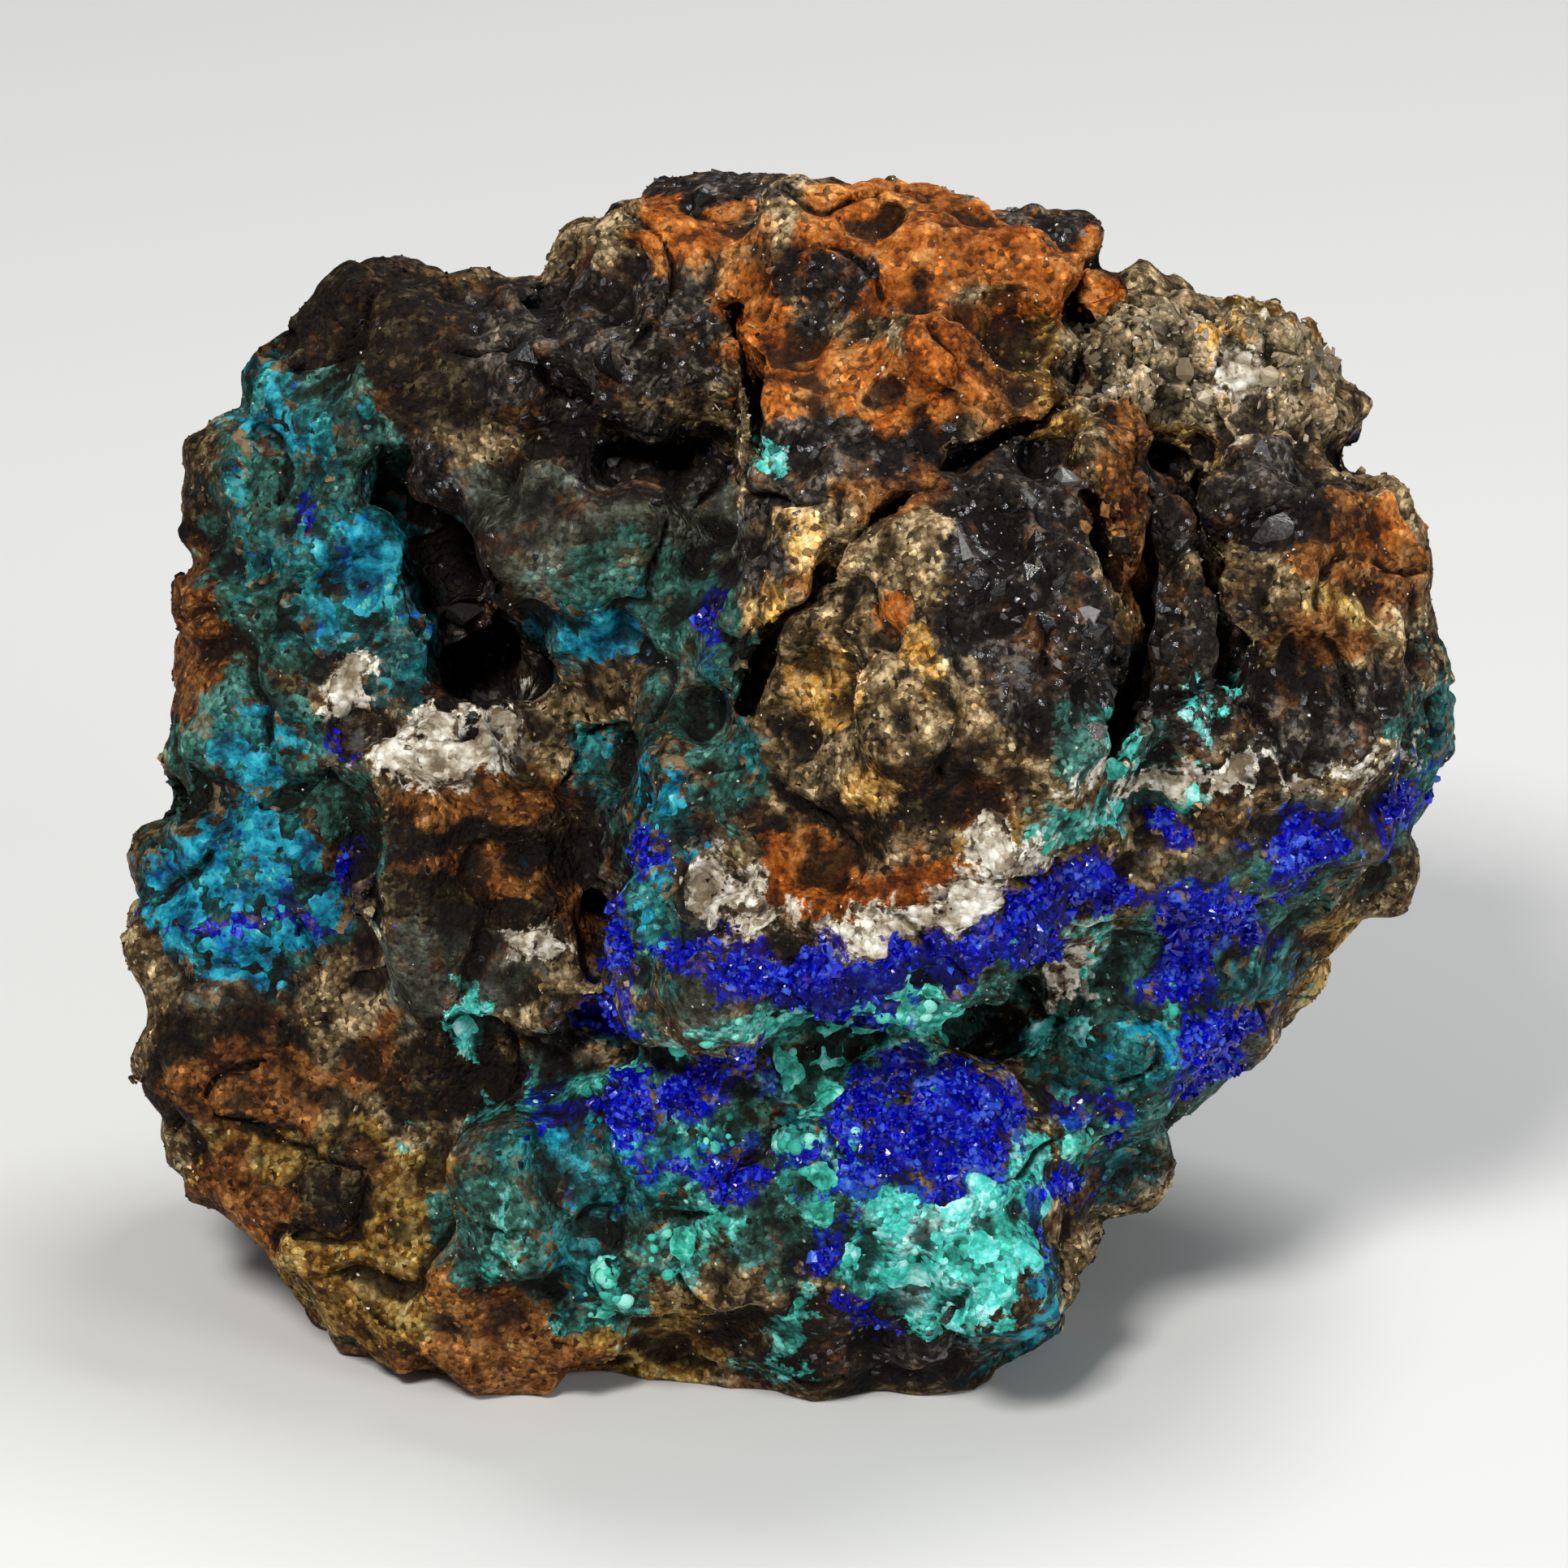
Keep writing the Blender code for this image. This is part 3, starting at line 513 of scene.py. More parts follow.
def thin_out(piece, triangles, where=None):
    """Merges the flattest faces down to this many triangles, only where the mask is true if there is one."""
    count = triangle_count(piece.data)
    if count <= triangles:
        return
    thinned = piece.modifiers.new("thin out", "DECIMATE")
    thinned.ratio = triangles / count
    if where is not None:
        group = piece.vertex_groups.new(name="thinned")
        group.add(np.nonzero(where)[0].tolist(), 1.0, "REPLACE")
        thinned.vertex_group = group.name
    bake(piece)
    piece.vertex_groups.clear()


def neighbour_mean(edges, count, values):
    total = np.bincount(edges[:, 0], values[edges[:, 1]], len(count))
    total += np.bincount(edges[:, 1], values[edges[:, 0]], len(count))
    return total / np.maximum(count, 1)


def set_hollowness(mesh, reach=0.12, rounds=3):
    """Keeps how hollow the surface is round each point: 1 in a crease and -1 on an edge."""
    points, normals = mesh_arrays(mesh)
    edges = read(mesh.edges, "vertices", 2, np.int32)
    count = np.bincount(edges.ravel(), minlength=len(points))
    mean = points
    for _ in range(rounds):
        mean = np.stack([neighbour_mean(edges, count, mean[:, axis]) for axis in range(3)], axis=1)
    bend = ((mean - points) * normals).sum(axis=1)
    bend = 0.5 * bend + 0.5 * neighbour_mean(edges, count, bend)
    set_attribute(mesh, "hollow", np.clip(bend / reach, -1, 1))


def shade(piece):
    piece.data.shade_smooth()
    piece.data.set_sharp_from_angle(angle=math.radians(SHARP_EDGE))


def broken_rock(points, fields):
    """How far the rock stands out of the plain stone at each point, in mm."""
    right, up, depth = display_place(points)
    patch = {mineral: smooth_step(field, -0.6, 0.6) for mineral, field in fields.items()}
    crystalline = np.clip(0.85 + 0.5 * patch["dark"] + 0.3 * patch["quartz"] - 0.5 * patch["grey"], 0.3, 1.5)
    bent = points + 0.35 * np.stack([ripple(points, 2.4, seed) for seed in (90, 91, 92)], axis=1)
    height = 0.10 * rubble(points, 2.2, 106) - SET_BACK
    height += COARSE_RELIEF * chipped(bent, COARSE_CHIP, 100) * (0.6 + 0.4 * crystalline)
    height += MIDDLE_RELIEF * chipped(points, MIDDLE_CHIP, 102) * crystalline
    height += FINE_RELIEF * chipped(points, FINE_CHIP, 104) * crystalline
    height += patch["ochre"] * OCHRE_RELIEF * knobs(bent, OCHRE_KNOB, 110)
    height += patch["quartz"] * QUARTZ_RELIEF * knobs(bent, QUARTZ_KNOB, 111)
    fissure = np.abs(ripple(bent, FISSURE_SPREAD, 112)) + 0.3 * np.clip(ripple(points, 5.0, 113) + 0.1, 0, 1)
    height -= FISSURE_DEPTH * np.exp(-(fissure / FISSURE_WIDTH) ** 2)
    ribs = smooth_step(right, 13.0, 16.0) * smooth_step(up, 1.0, 4.0) * smooth_step(depth, -4.0, 2.0)
    stretched = points * np.array((1.0, 1.0, 0.22), dtype=np.float32)
    height += ribs * 0.36 * ripple(stretched, 0.9, 114)
    facing = smooth_step(depth, FRONT_ENDS - FRONT_FADE, FRONT_ENDS)
    for rise, half_width, line in RELIEF_LINES:
        height += rise * facing * np.exp(-(off_line(right, up, line) / half_width) ** 2)
    return height * smooth_step(points[:, 2], 0.05, BASE_KEPT)


def fine_stone(stone):
    """A finely meshed copy of the stone with its broken surface, for the rock and all crusts to grow from."""
    fine = new_piece("fine_stone", stone.data.copy())
    fused = fine.modifiers.new("fuse", "REMESH")
    fused.mode = "VOXEL"
    fused.voxel_size = ROCK_VOXEL * MM
    rounded = fine.modifiers.new("round", "SMOOTH")
    rounded.factor = 0.5
    rounded.iterations = 2
    bake(fine)
    points, normals = mesh_arrays(fine.data)
    fields = mineral_fields(points)
    set_points(fine.data, points + normals * broken_rock(points, fields)[:, None])
    set_fields(fine.data, fields)
    return fine


def is_behind(mesh):
    """For each point, whether it lies behind the display face."""
    points, _ = mesh_arrays(mesh)
    return display_place(points)[2] < FRONT_ENDS


def make_rock(fine):
    """The rock that shows between the crusts. Its display face keeps most of its triangles."""
    rock = new_piece("rock", fine.data.copy())
    behind = is_behind(rock.data)
    front_triangles = triangle_count(rock.data) * (1 - behind.mean())
    thin_out(rock, front_triangles + BACK_TRIANGLES, behind)
    thin_out(rock, ROCK_TRIANGLES, ~is_behind(rock.data))
    set_hollowness(rock.data)
    shade(rock)
    return rock


def grow_crust(name, fine, minerals, triangles, edge=0.5):
    """A crust over the patches of some minerals, which dips under the rock along its edge."""
    wanted = np.max([get_field(fine.data, mineral) for mineral in minerals], axis=0) > -edge
    bm = bmesh.new()
    bm.from_mesh(fine.data)
    lost = [vert for vert, keep in zip(bm.verts, wanted) if not keep]
    bmesh.ops.delete(bm, geom=lost, context="VERTS")
    mesh = bpy.data.meshes.new(name)
    bm.to_mesh(mesh)
    bm.free()
    crust = new_piece(name + "_crust", mesh)
    finer = crust.modifiers.new("finer", "SUBSURF")
    finer.subdivision_type = "SIMPLE"
    finer.levels = 1
    finer.render_levels = 1
    bake(crust)
    points, normals = mesh_arrays(crust.data)
    inside = np.max([get_field(crust.data, mineral) for mineral in minerals], axis=0)
    set_points(crust.data, points + normals * crust_height(name, points, inside)[:, None])
    thin_out(crust, triangles)
    set_hollowness(crust.data)
    shade(crust)
    return crust


def streaks(points, width, seed):
    """Height of a surface with fine streaks along the stone."""
    return ripple(points * np.array((0.45, 1.0, 1.6), dtype=np.float32), width, seed)


# Each crust: how far its edge strays, over what length, and the seed; where the edge starts and where it is
# full; how high its foot and its top are over the rock; and its forms, each with height, width and seed.
CRUST_FORMS = {
    "azurite": ((0.25, 0.7, 201), (-0.15, 0.3), -0.14, 0.22,
                ((chipped, 0.32, 0.75, 202), (chipped, 0.10, 0.36, 204))),
    "malachite": ((0.2, 0.8, 211), (-0.15, 0.3), -0.14, 0.26,
                  ((chipped, 0.15, 1.1, 212, 0.8), (knobs, 0.08, 0.45, 214), (knobs, 0.40, 1.9, 216))),
    "chrysocolla": ((0.4, 1.0, 221), (-0.2, 0.3), -0.12, 0.17,
                    ((chipped, 0.24, 1.3, 222), (knobs, 0.10, 0.55, 224))),
    "cream": ((0.12, 0.8, 231), (-0.1, 0.2), -0.13, 0.22,
              ((chipped, 0.26, 1.0, 238), (streaks, 0.12, 0.35, 234))),
}


def crust_height(name, points, inside):
    """How far a crust stands out of the rock, where the points lie this far inside its patches."""
    (reach, length, seed), edge, foot, top, forms = CRUST_FORMS[name]
    rise = smooth_step(inside + reach * rubble(points, length, seed), *edge)
    for form, relief, *rest in forms:
        top = top + relief * form(points, *rest)
    return foot + rise * top


# Crystals

def taken_shape(bm):
    """The points and the triangles of a shape, which is done with after this."""
    bm.verts.index_update()
    points = np.array([tuple(vert.co) for vert in bm.verts])
    faces = np.array([[vert.index for vert in face.verts] for face in bm.faces])
    bm.free()
    return points, faces


def hull_shape(corners):
    """A closed, flat-faced shape round some corners."""
    bm = bmesh.new()
    for corner in corners:
        bm.verts.new(corner)
    bmesh.ops.convex_hull(bm, input=bm.verts)
    bmesh.ops.triangulate(bm, faces=bm.faces)
    loose = [vert for vert in bm.verts if not vert.link_faces]
    bmesh.ops.delete(bm, geom=loose, context="VERTS")
    return taken_shape(bm)


def ring(sides, radius, height, turn=0.0):
    angles = [turn + 2 * math.pi * n / sides for n in range(sides)]
    return [(radius * math.cos(angle), radius * math.sin(angle), height) for angle in angles]


def quartz_shape():
    """A short six-sided prism with a point a little off its middle."""
    return hull_shape(ring(6, 0.45, -0.5) + ring(6, 0.42, 0.25) + [(0.06, 0.03, 0.7)])


def blade_shape():
    """A blocky blade with a slanting end."""
    foot = ring(4, 0.5, -0.5, 0.3)
    return hull_shape(foot + [(0.42, 0.12, 0.5), (-0.3, 0.2, 0.62), (0.1, -0.24, 0.7), (0.5, -0.1, 0.2)])


def chip_shape(rng, corners=9):
    """An angular chip, with no two alike."""
    places = rng.normal(size=(corners, 3))
    places *= 0.5 / np.linalg.norm(places, axis=1)[:, None]
    return hull_shape(places.tolist())


def ball_shape():
    bm = bmesh.new()
    bmesh.ops.create_icosphere(bm, subdivisions=2, radius=0.5)
    return taken_shape(bm)


def random_turns(rng, directions, lean):
    """One turn for each direction: the shape's z axis points along it, give or take the lean."""
    axis = directions + lean * rng.normal(size=directions.shape)
    axis /= np.linalg.norm(axis, axis=1)[:, None]
    side = np.cross(axis, rng.normal(size=axis.shape))
    side /= np.linalg.norm(side, axis=1)[:, None]
    return np.stack([side, np.cross(axis, side), axis], axis=2)


class Ground:
    """The fine stone's surface, for crystals to be strewn on."""

    def __init__(self, fine):
        self.mesh = fine.data
        self.points, self.normals = mesh_arrays(fine.data)
        self.fields = {mineral: get_field(fine.data, mineral) for mineral in PATCHES}
        self.above = smooth_step(self.points[:, 2], 0.8, 1.4)
        self.front = smooth_step(display_place(self.points)[2], FRONT_ENDS - FRONT_FADE, FRONT_ENDS)

    def on(self, *minerals, low=0.0, high=0.4):
        """1 well inside any of the minerals' patches, and 0 outside."""
        return smooth_step(np.max([self.fields[mineral] for mineral in minerals], axis=0), low, high)


def uneven_sizes(seed, count, smallest, typical, largest):
    """Sizes from the smallest up, most of them near the typical one."""
    rng = np.random.default_rng(seed)
    return np.clip(smallest + rng.gamma(2.0, (typical - smallest) / 2.0, count), smallest, largest)


def strew(name, ground, weight, shapes, material, fields=()):
    """Many small crystals as one piece, partly sunk in the ground and thickest where the weight is high.

    Each gets a tone of its own, and its ground's place in the minerals named in fields."""
    count, size_range, seed, lean, slim, lift, slot = STREWN[name]
    sizes = uneven_sizes(seed - 1, count, *size_range)
    rng = np.random.default_rng(seed)
    chance = (weight * ground.above).astype(float)
    chosen = rng.choice(len(chance), size=len(sizes), replace=False, p=chance / chance.sum())
    directions = ground.normals[chosen].astype(float)
    middle = ground.points[chosen] + directions * (sizes * lift)[:, None]
    turns = random_turns(rng, directions, lean)
    choice = rng.integers(len(shapes), size=len(sizes))
    tone = rng.random(len(sizes))
    points, faces, owner = [], [], []
    start = 0
    for number, (corners, triangles) in enumerate(shapes):
        mine = np.nonzero(choice == number)[0]
        stretch = rng.uniform(slim[0], slim[1], size=(len(mine), 1, 3)) * sizes[mine][:, None, None]
        turned = np.einsum("nij,nkj->nki", turns[mine], corners[None] * stretch)
        points.append((turned + middle[mine][:, None, :]).reshape(-1, 3))
        first = start + len(corners) * np.arange(len(mine))
        faces.append((triangles[None] + first[:, None, None]).reshape(-1, 3))
        owner.append(np.repeat(mine, len(corners)))
        start += len(corners) * len(mine)
    points = np.concatenate(points)
    faces = np.concatenate(faces)
    owner = np.concatenate(owner)
    points[:, 2] = np.maximum(points[:, 2], 0.0)
    mesh = bpy.data.meshes.new(name)
    mesh.from_pydata((points * MM).tolist(), [], faces.tolist())
    set_attribute(mesh, "tone", tone[owner])
    for mineral in fields:
        set_attribute(mesh, mineral, get_attribute(ground.mesh, mineral)[chosen][owner])
    piece = new_piece(name, mesh)
    dress(piece, material, slot)
    return piece


# Materials

class Graph:
    """A material's nodes, with short calls for the ones that this script uses."""

    def __init__(self, name):
        self.material = bpy.data.materials.new(name)
        self.material.use_nodes = True
        self.nodes = self.material.node_tree.nodes
        self.links = self.material.node_tree.links
        self.surface = self.nodes["Principled BSDF"]
        self.place = self.nodes.new("ShaderNodeTexCoord").outputs["Object"]

    def put(self, socket, value):
        if isinstance(value, bpy.types.NodeSocket):
            self.links.new(value, socket)
        elif socket.type == "RGBA":
            socket.default_value = (*value, 1.0)
        elif socket.type == "VECTOR" and isinstance(value, float):
            socket.default_value = (value, value, value)
        else:
            socket.default_value = value

    def node(self, kind, inputs=(), **settings):
        """A new node with these settings, and with these values or links at its inputs."""
        node = self.nodes.new("ShaderNode" + kind)
        for name, value in settings.items():
            setattr(node, name, value)
        for name, value in dict(inputs).items():
            self.put(node.inputs[name], value)
        return node

    def noise(self, length, detail=4.0, shift=0.0, roughness=0.55):
        """Noise from 0 to 1 whose lumps are about this long, in mm."""
        moved = self.node("Mapping", {"Vector": self.place, "Location": (shift, shift * 0.7, shift * 1.3)})
        inputs = {"Vector": moved.outputs["Vector"], "Scale": 1.0 / (length * MM)}
        return self.node("TexNoise", {**inputs, "Detail": detail, "Roughness": roughness}).outputs["Fac"]

    def cells(self, width):
        """Grains this wide: each grain's three numbers as a colour, and how far off its centre a point is."""
        texture = self.node("TexVoronoi", {"Vector": self.place, "Scale": 1.0 / (width * MM)})
        return texture.outputs["Color"], texture.outputs["Distance"]

    def split(self, color):
        return self.node("SeparateColor", {0: color}).outputs[:]

    def attribute(self, name):
        return self.node("Attribute", attribute_name=name).outputs["Fac"]

    def math(self, operation, *values):
        return self.node("Math", enumerate(values), operation=operation).outputs[0]

    def vector_math(self, operation, *values):
        return self.node("VectorMath", enumerate(values), operation=operation).outputs[0]

    def step(self, value, low, high, start=0.0, end=1.0):
        """A smooth step from start to end as the value goes from low to high."""
        inputs = {"Value": value, "From Min": low, "From Max": high, "To Min": start, "To Max": end}
        return self.node("MapRange", inputs, interpolation_type="SMOOTHSTEP").outputs["Result"]

    def blend(self, *parts):
        """The sum of values, each times its weight."""
        total = 0.0
        for value, weight in parts:
            total = self.math("MULTIPLY_ADD", value, weight, total)
        return total

    def mix(self, factor, first, second, blend="MIX"):
        inputs = {"Factor": factor, 6: first, 7: second}
        return self.node("Mix", inputs, data_type="RGBA", blend_type=blend).outputs[2]

    def ramp(self, value, colors, low=0.22, high=0.80):
        """A colour for a value: the colours are spread evenly from low to high."""
        node = self.node("ValToRGB", {"Fac": value})
        stops = node.color_ramp.elements
        while len(stops) < len(colors):
            stops.new(0.5)
        for number, color in enumerate(colors):
            stops[number].position = low + (high - low) * number / (len(colors) - 1)
            stops[number].color = (*color, 1.0)
        return node.outputs["Color"]

    def patch(self, name, ragged, spread=0.5, soft=0.08, edge=0.5):
        """1 inside a mineral's patches and 0 outside, with an edge that the ragged noise breaks up."""
        stray = self.math("SUBTRACT", ragged, 0.5)
        strayed = self.math("MULTIPLY_ADD", stray, spread * 2, self.attribute(name))
        return self.step(strayed, edge - soft, edge + soft)

    def painted_crease_shade(self, color, dark, most=0.8):
        """Paints shade into a colour in the creases."""
        return self.mix(self.step(self.attribute("hollow"), 0.0, 0.8, 0.0, most), color, dark)

    def glitter(self, grain_color, spread, normal):
        """A normal that differs from grain to grain, as on a surface of tiny crystal faces."""
        away = self.vector_math("SUBTRACT", grain_color, (0.5, 0.5, 0.5))
        return self.vector_math("NORMALIZE", self.vector_math("MULTIPLY_ADD", away, spread, normal))

    def bump(self, height, reach, normal=None):
        """A bumpy normal; reach is the height of the bumps in mm."""
        inputs = {"Distance": reach * MM, "Height": height}
        if normal is not None:
            inputs["Normal"] = normal
        return self.node("Bump", inputs).outputs["Normal"]

    def grained(self, grain_color, grain_reach, grain_bump, ragged, bump, glitter):
        """The normal of a surface of round grains with ragged bumps, which glitters from grain to grain."""
        normal = self.bump(self.math("SUBTRACT", 1.0, grain_reach), grain_bump)
        return self.glitter(grain_color, glitter, self.bump(ragged, bump, normal))

    def finish(self, color, roughness, normal=None, metallic=0.0, specular=0.5):
        self.surface.inputs["Specular IOR Level"].default_value = specular
        self.put(self.surface.inputs["Base Color"], color)
        self.put(self.surface.inputs["Roughness"], roughness)
        self.put(self.surface.inputs["Metallic"], metallic)
        if normal is not None:
            self.links.new(normal, self.surface.inputs["Normal"])
        return self.material


def rock_material(name, own_tone=0.0):
    """The rock's zones, frayed into each other, each speckled from grain to grain.

    own_tone says how much a loose grain's own tone counts, where the piece is made of grains."""
    g = Graph(name)
    ragged = g.noise(1.2, 5.0, roughness=0.68)
    opposite = g.noise(1.7, 5.0, 0.05, 0.68)
    grain_color, grain_reach = g.cells(0.28)
    lump_color, _ = g.cells(1.0)
    light, tint, gloss = g.split(grain_color)
    broad = g.noise(4.5, 2.0, 0.4, 0.6)
    level = g.blend((g.step(ragged, 0.32, 0.68), 0.34), (light, 0.28), (g.split(lump_color)[0], 0.14))
    level = g.math("MULTIPLY_ADD", g.step(broad, 0.35, 0.65), 0.24, level)
    chalky = g.blend((g.step(ragged, 0.30, 0.70), 0.50), (g.step(broad, 0.35, 0.65), 0.32), (light, 0.14))
    if own_tone:
        level = g.blend((level, 1 - own_tone), (g.attribute("tone"), own_tone))
    color = g.ramp(level, PLAIN_ROCK)
    for number, (zone, fray, colors) in enumerate(ZONES):
        inside = g.patch(zone, (ragged, opposite)[number % 2], fray, 0.10)
        color = g.mix(inside, color, g.ramp(chalky if zone in CHALKY else level, colors))
        if zone == "dark":
            dark = inside
    for number, (mineral, colors) in enumerate(STAINS):
        inside = g.patch(mineral, (opposite, ragged)[number % 2], 1.0, 0.05, 0.46)
        color = g.mix(g.math("MULTIPLY", inside, 0.85), color, g.ramp(level, colors))
    speck = g.step(tint, 0.90, 0.93, 0.0, 0.55)
    color = g.mix(speck, color, g.mix(1.0, color, SPECK_GAIN, "MULTIPLY"))
    color = g.mix(g.step(tint, 0.17, 0.13, 0.0, 0.7), color, DARK_GRAIN)
    rusty = g.step(g.noise(2.2, 4.0, 0.8, 0.7), 0.54, 0.64, 0.0, 0.5)
    color = g.mix(rusty, color, g.ramp(level, RUST_STAIN))
    # Painted shade in the grooves between grains.
    color = g.mix(g.step(grain_reach, 0.45, 0.75, 0.0, 0.30), color, PAINTED_GAP_SHADE)
    # Painted shade in the creases.
    color = g.painted_crease_shade(color, PAINTED_CREASE_SHADE, 0.9)
    # Convex edges lighter: wear, with a painted highlight.
    color = g.mix(g.step(g.attribute("hollow"), -1.0, -0.2, 0.6, 0.0), color, WEAR_AND_EDGE_HIGHLIGHT_GAIN, "MULTIPLY")
    shine = g.step(g.math("MULTIPLY_ADD", dark, 0.02, gloss), 0.95, 0.98)
    metal = g.math("MULTIPLY", g.math("MULTIPLY", dark, shine), 0.8)
    color = g.mix(metal, color, METAL)
    glitter = g.step(shine, 0.0, 1.0, 0.40, 0.80)
    normal = g.grained(grain_color, grain_reach, 0.12, ragged, 0.45, glitter)
    return g.finish(color, g.step(shine, 0.0, 1.0, 0.75, 0.20), normal, metal, DULL)


class Crust(Graph):
    """A crust's material: ragged noise, grains, and a level from 0 to 1 that is made of both."""

    def __init__(self, name, width, share, ragged=(1.3, 5.0, 0.2, 0.66)):
        super().__init__(name)
        self.ragged = self.noise(*ragged)
        self.grain_color, self.grain_reach = self.cells(width)
        light, self.tint, self.gloss = self.split(self.grain_color)
        self.level = self.blend((self.step(self.ragged, 0.30, 0.70), share), (light, 1 - share))

    def tones(self, colors):
        return self.ramp(self.level, colors)

    def spots(self, color, noise, low, high, colors):
        """Spots of other colours where a noise is high."""
        return self.mix(self.step(noise, low, high), color, self.tones(colors))

    def earthy_edge(self, color, name, edge=0.60):
        """Lets earth show through near the crust's edge, where a noise is low."""
        thin = self.patch(name, self.noise(0.7, 5.0, 1.3, 0.65), 0.65, 0.06, edge)
        return self.mix(thin, self.tones(BROWN_STAIN), color)

    def finish_crust(self, color, roughness, grain_bump, bump, glitter):
        normal = self.grained(self.grain_color, self.grain_reach, grain_bump, self.ragged, bump, glitter)
        return self.finish(color, roughness, normal, specular=DULL)


def crust_material(name, width, colors, dark, stains, roughness, glitter):
    """A crust's colour, from its dark grains to its light ones, with stains of other minerals in it."""
    g = Crust(name, width, 0.60)
    color = g.tones(colors)
    for number, (length, share, stain) in enumerate(stains):
        spot = g.noise(length, 5.0, 0.5 + 0.2 * number, 0.62)
        color = g.spots(color, spot, share, share + 0.05, stain)
    color = g.earthy_edge(color, name, 0.56)
    # Painted shade in the grooves between grains.
    color = g.mix(g.step(g.grain_reach, 0.45, 0.80, 0.0, 0.35), color, dark)
    # Painted shade in the crust's creases.
    color = g.painted_crease_shade(color, dark)
    # Painted shadow on the crust where the umber patches are, as on the azurite band under the ledge.
    color = g.mix(g.step(g.attribute("umber_and_shade"), 0.35, 0.85, 0.0, 0.7), color, dark)
    return g.finish_crust(color, g.step(g.gloss, 0.65, 0.75, *roughness), 0.07, 0.15, glitter)


def crystal_material(name, colors, roughness, clear=0.0, specular=0.5, bumps=0.02):
    """Loose crystals, each of a tone of its own."""
    g = Graph(name)
    grain = g.noise(0.18, 3.0, 0.3)
    level = g.blend((g.attribute("tone"), 0.75), (grain, 0.25))
    if clear:
        g.surface.inputs["Transmission Weight"].default_value = clear
        g.surface.inputs["IOR"].default_value = 1.54
    return g.finish(g.ramp(level, colors, 0.12, 0.88), roughness, g.bump(grain, bumps), specular=specular)


RUST_STAIN = ((0.012, 0.003, 0.0005), (0.06, 0.02, 0.004), (0.14, 0.055, 0.012), (0.26, 0.13, 0.045))
BROWN_STAIN = ((0.005, 0.003, 0.001), (0.025, 0.014, 0.006), (0.075, 0.046, 0.020), (0.18, 0.12, 0.06))
GREEN_STAIN = ((0.01, 0.09, 0.07), (0.02, 0.20, 0.17), (0.05, 0.36, 0.31), (0.18, 0.52, 0.45))
BLUE_STAIN = ((0.001, 0.01, 0.12), (0.002, 0.04, 0.24), (0.004, 0.13, 0.38), (0.02, 0.24, 0.46))
MALACHITE = ((0.012, 0.13, 0.09), (0.025, 0.29, 0.21), (0.06, 0.46, 0.36), (0.26, 0.64, 0.54))
MINT = ((0.028, 0.32, 0.25), (0.045, 0.47, 0.40), (0.14, 0.59, 0.55), (0.40, 0.70, 0.67))
DULL_TURQUOISE = ((0.001, 0.010, 0.010), (0.003, 0.040, 0.043), (0.005, 0.095, 0.100), (0.03, 0.21, 0.21))
CLEAR_TURQUOISE = ((0.001, 0.028, 0.06), (0.002, 0.105, 0.18), (0.006, 0.20, 0.29), (0.03, 0.34, 0.43))
CREAM = ((0.14, 0.11, 0.07), (0.36, 0.31, 0.23), (0.58, 0.54, 0.45), (0.74, 0.72, 0.65))
AZURITE = ((0.0, 0.0, 0.09), (0.0, 0.001, 0.22), (0.001, 0.003, 0.38), (0.04, 0.09, 0.46))
BRIGHT_AZURITE = ((0.0, 0.0, 0.14), (0.0, 0.001, 0.30), (0.001, 0.005, 0.46), (0.04, 0.11, 0.58))
WHITE_QUARTZ = ((0.03, 0.023, 0.013), (0.14, 0.105, 0.060), (0.31, 0.24, 0.14), (0.58, 0.47, 0.32))
BLACK = ((0.002, 0.002, 0.002), (0.005, 0.004, 0.004), (0.012, 0.010, 0.009), (0.04, 0.036, 0.032))
# The dark facets' tones: dark steel, with the lightest tone standing in for glints as a painted highlight.
STEEL_AND_PAINTED_GLINT = ((0.002, 0.002, 0.002), (0.008, 0.007, 0.007), (0.030, 0.028, 0.026), (0.20, 0.195, 0.19))
GLINTS = ((0.05, 0.04, 0.03), (0.18, 0.14, 0.09), (0.42, 0.37, 0.29), (0.75, 0.72, 0.66))

# Single colours of the rock: its darkest grains, painted shade in the grooves between grains and in its
# creases, and metal facets.
DARK_GRAIN = (0.004, 0.003, 0.002)
PAINTED_GAP_SHADE = (0.004, 0.002, 0.001)
PAINTED_CREASE_SHADE = (0.003, 0.0015, 0.001)
METAL = (0.14, 0.14, 0.15)

# How much lighter the bright specks are, and the convex edges, which are worn and carry a painted highlight.
SPECK_GAIN = (2.6, 2.4, 2.1)
WEAR_AND_EDGE_HIGHLIGHT_GAIN = (1.5, 1.5, 1.5)

# What the rock is stained with round each crust.
STAINS = (
    ("chrysocolla", DULL_TURQUOISE), ("malachite", GREEN_STAIN), ("mint", MINT), ("cream", CREAM),
    ("azurite", AZURITE),
)


def azurite_material():
    stains = ((1.1, 0.68, BROWN_STAIN), (0.9, 0.66, GREEN_STAIN))
    return crust_material("azurite", 0.26, AZURITE, (0.001, 0.001, 0.02), stains, (0.55, 0.22), 0.8)


def malachite_material():
    """Green knobs that pale to mint where the mint patches are."""
    g = Crust("malachite", 0.3, 0.65, (1.2, 5.0, 0.25, 0.64))
    color = g.mix(g.patch("mint", g.ragged, 0.35, 0.2), g.tones(MALACHITE), g.tones(MINT))
    color = g.spots(color, g.noise(0.8, 4.0, 0.95), 0.70, 0.74, BROWN_STAIN)
    # Painted shade in the creases.
    color = g.painted_crease_shade(color, (0.006, 0.11, 0.085), 0.30)
    return g.finish_crust(color, 0.48, 0.05, 0.12, 0.25)


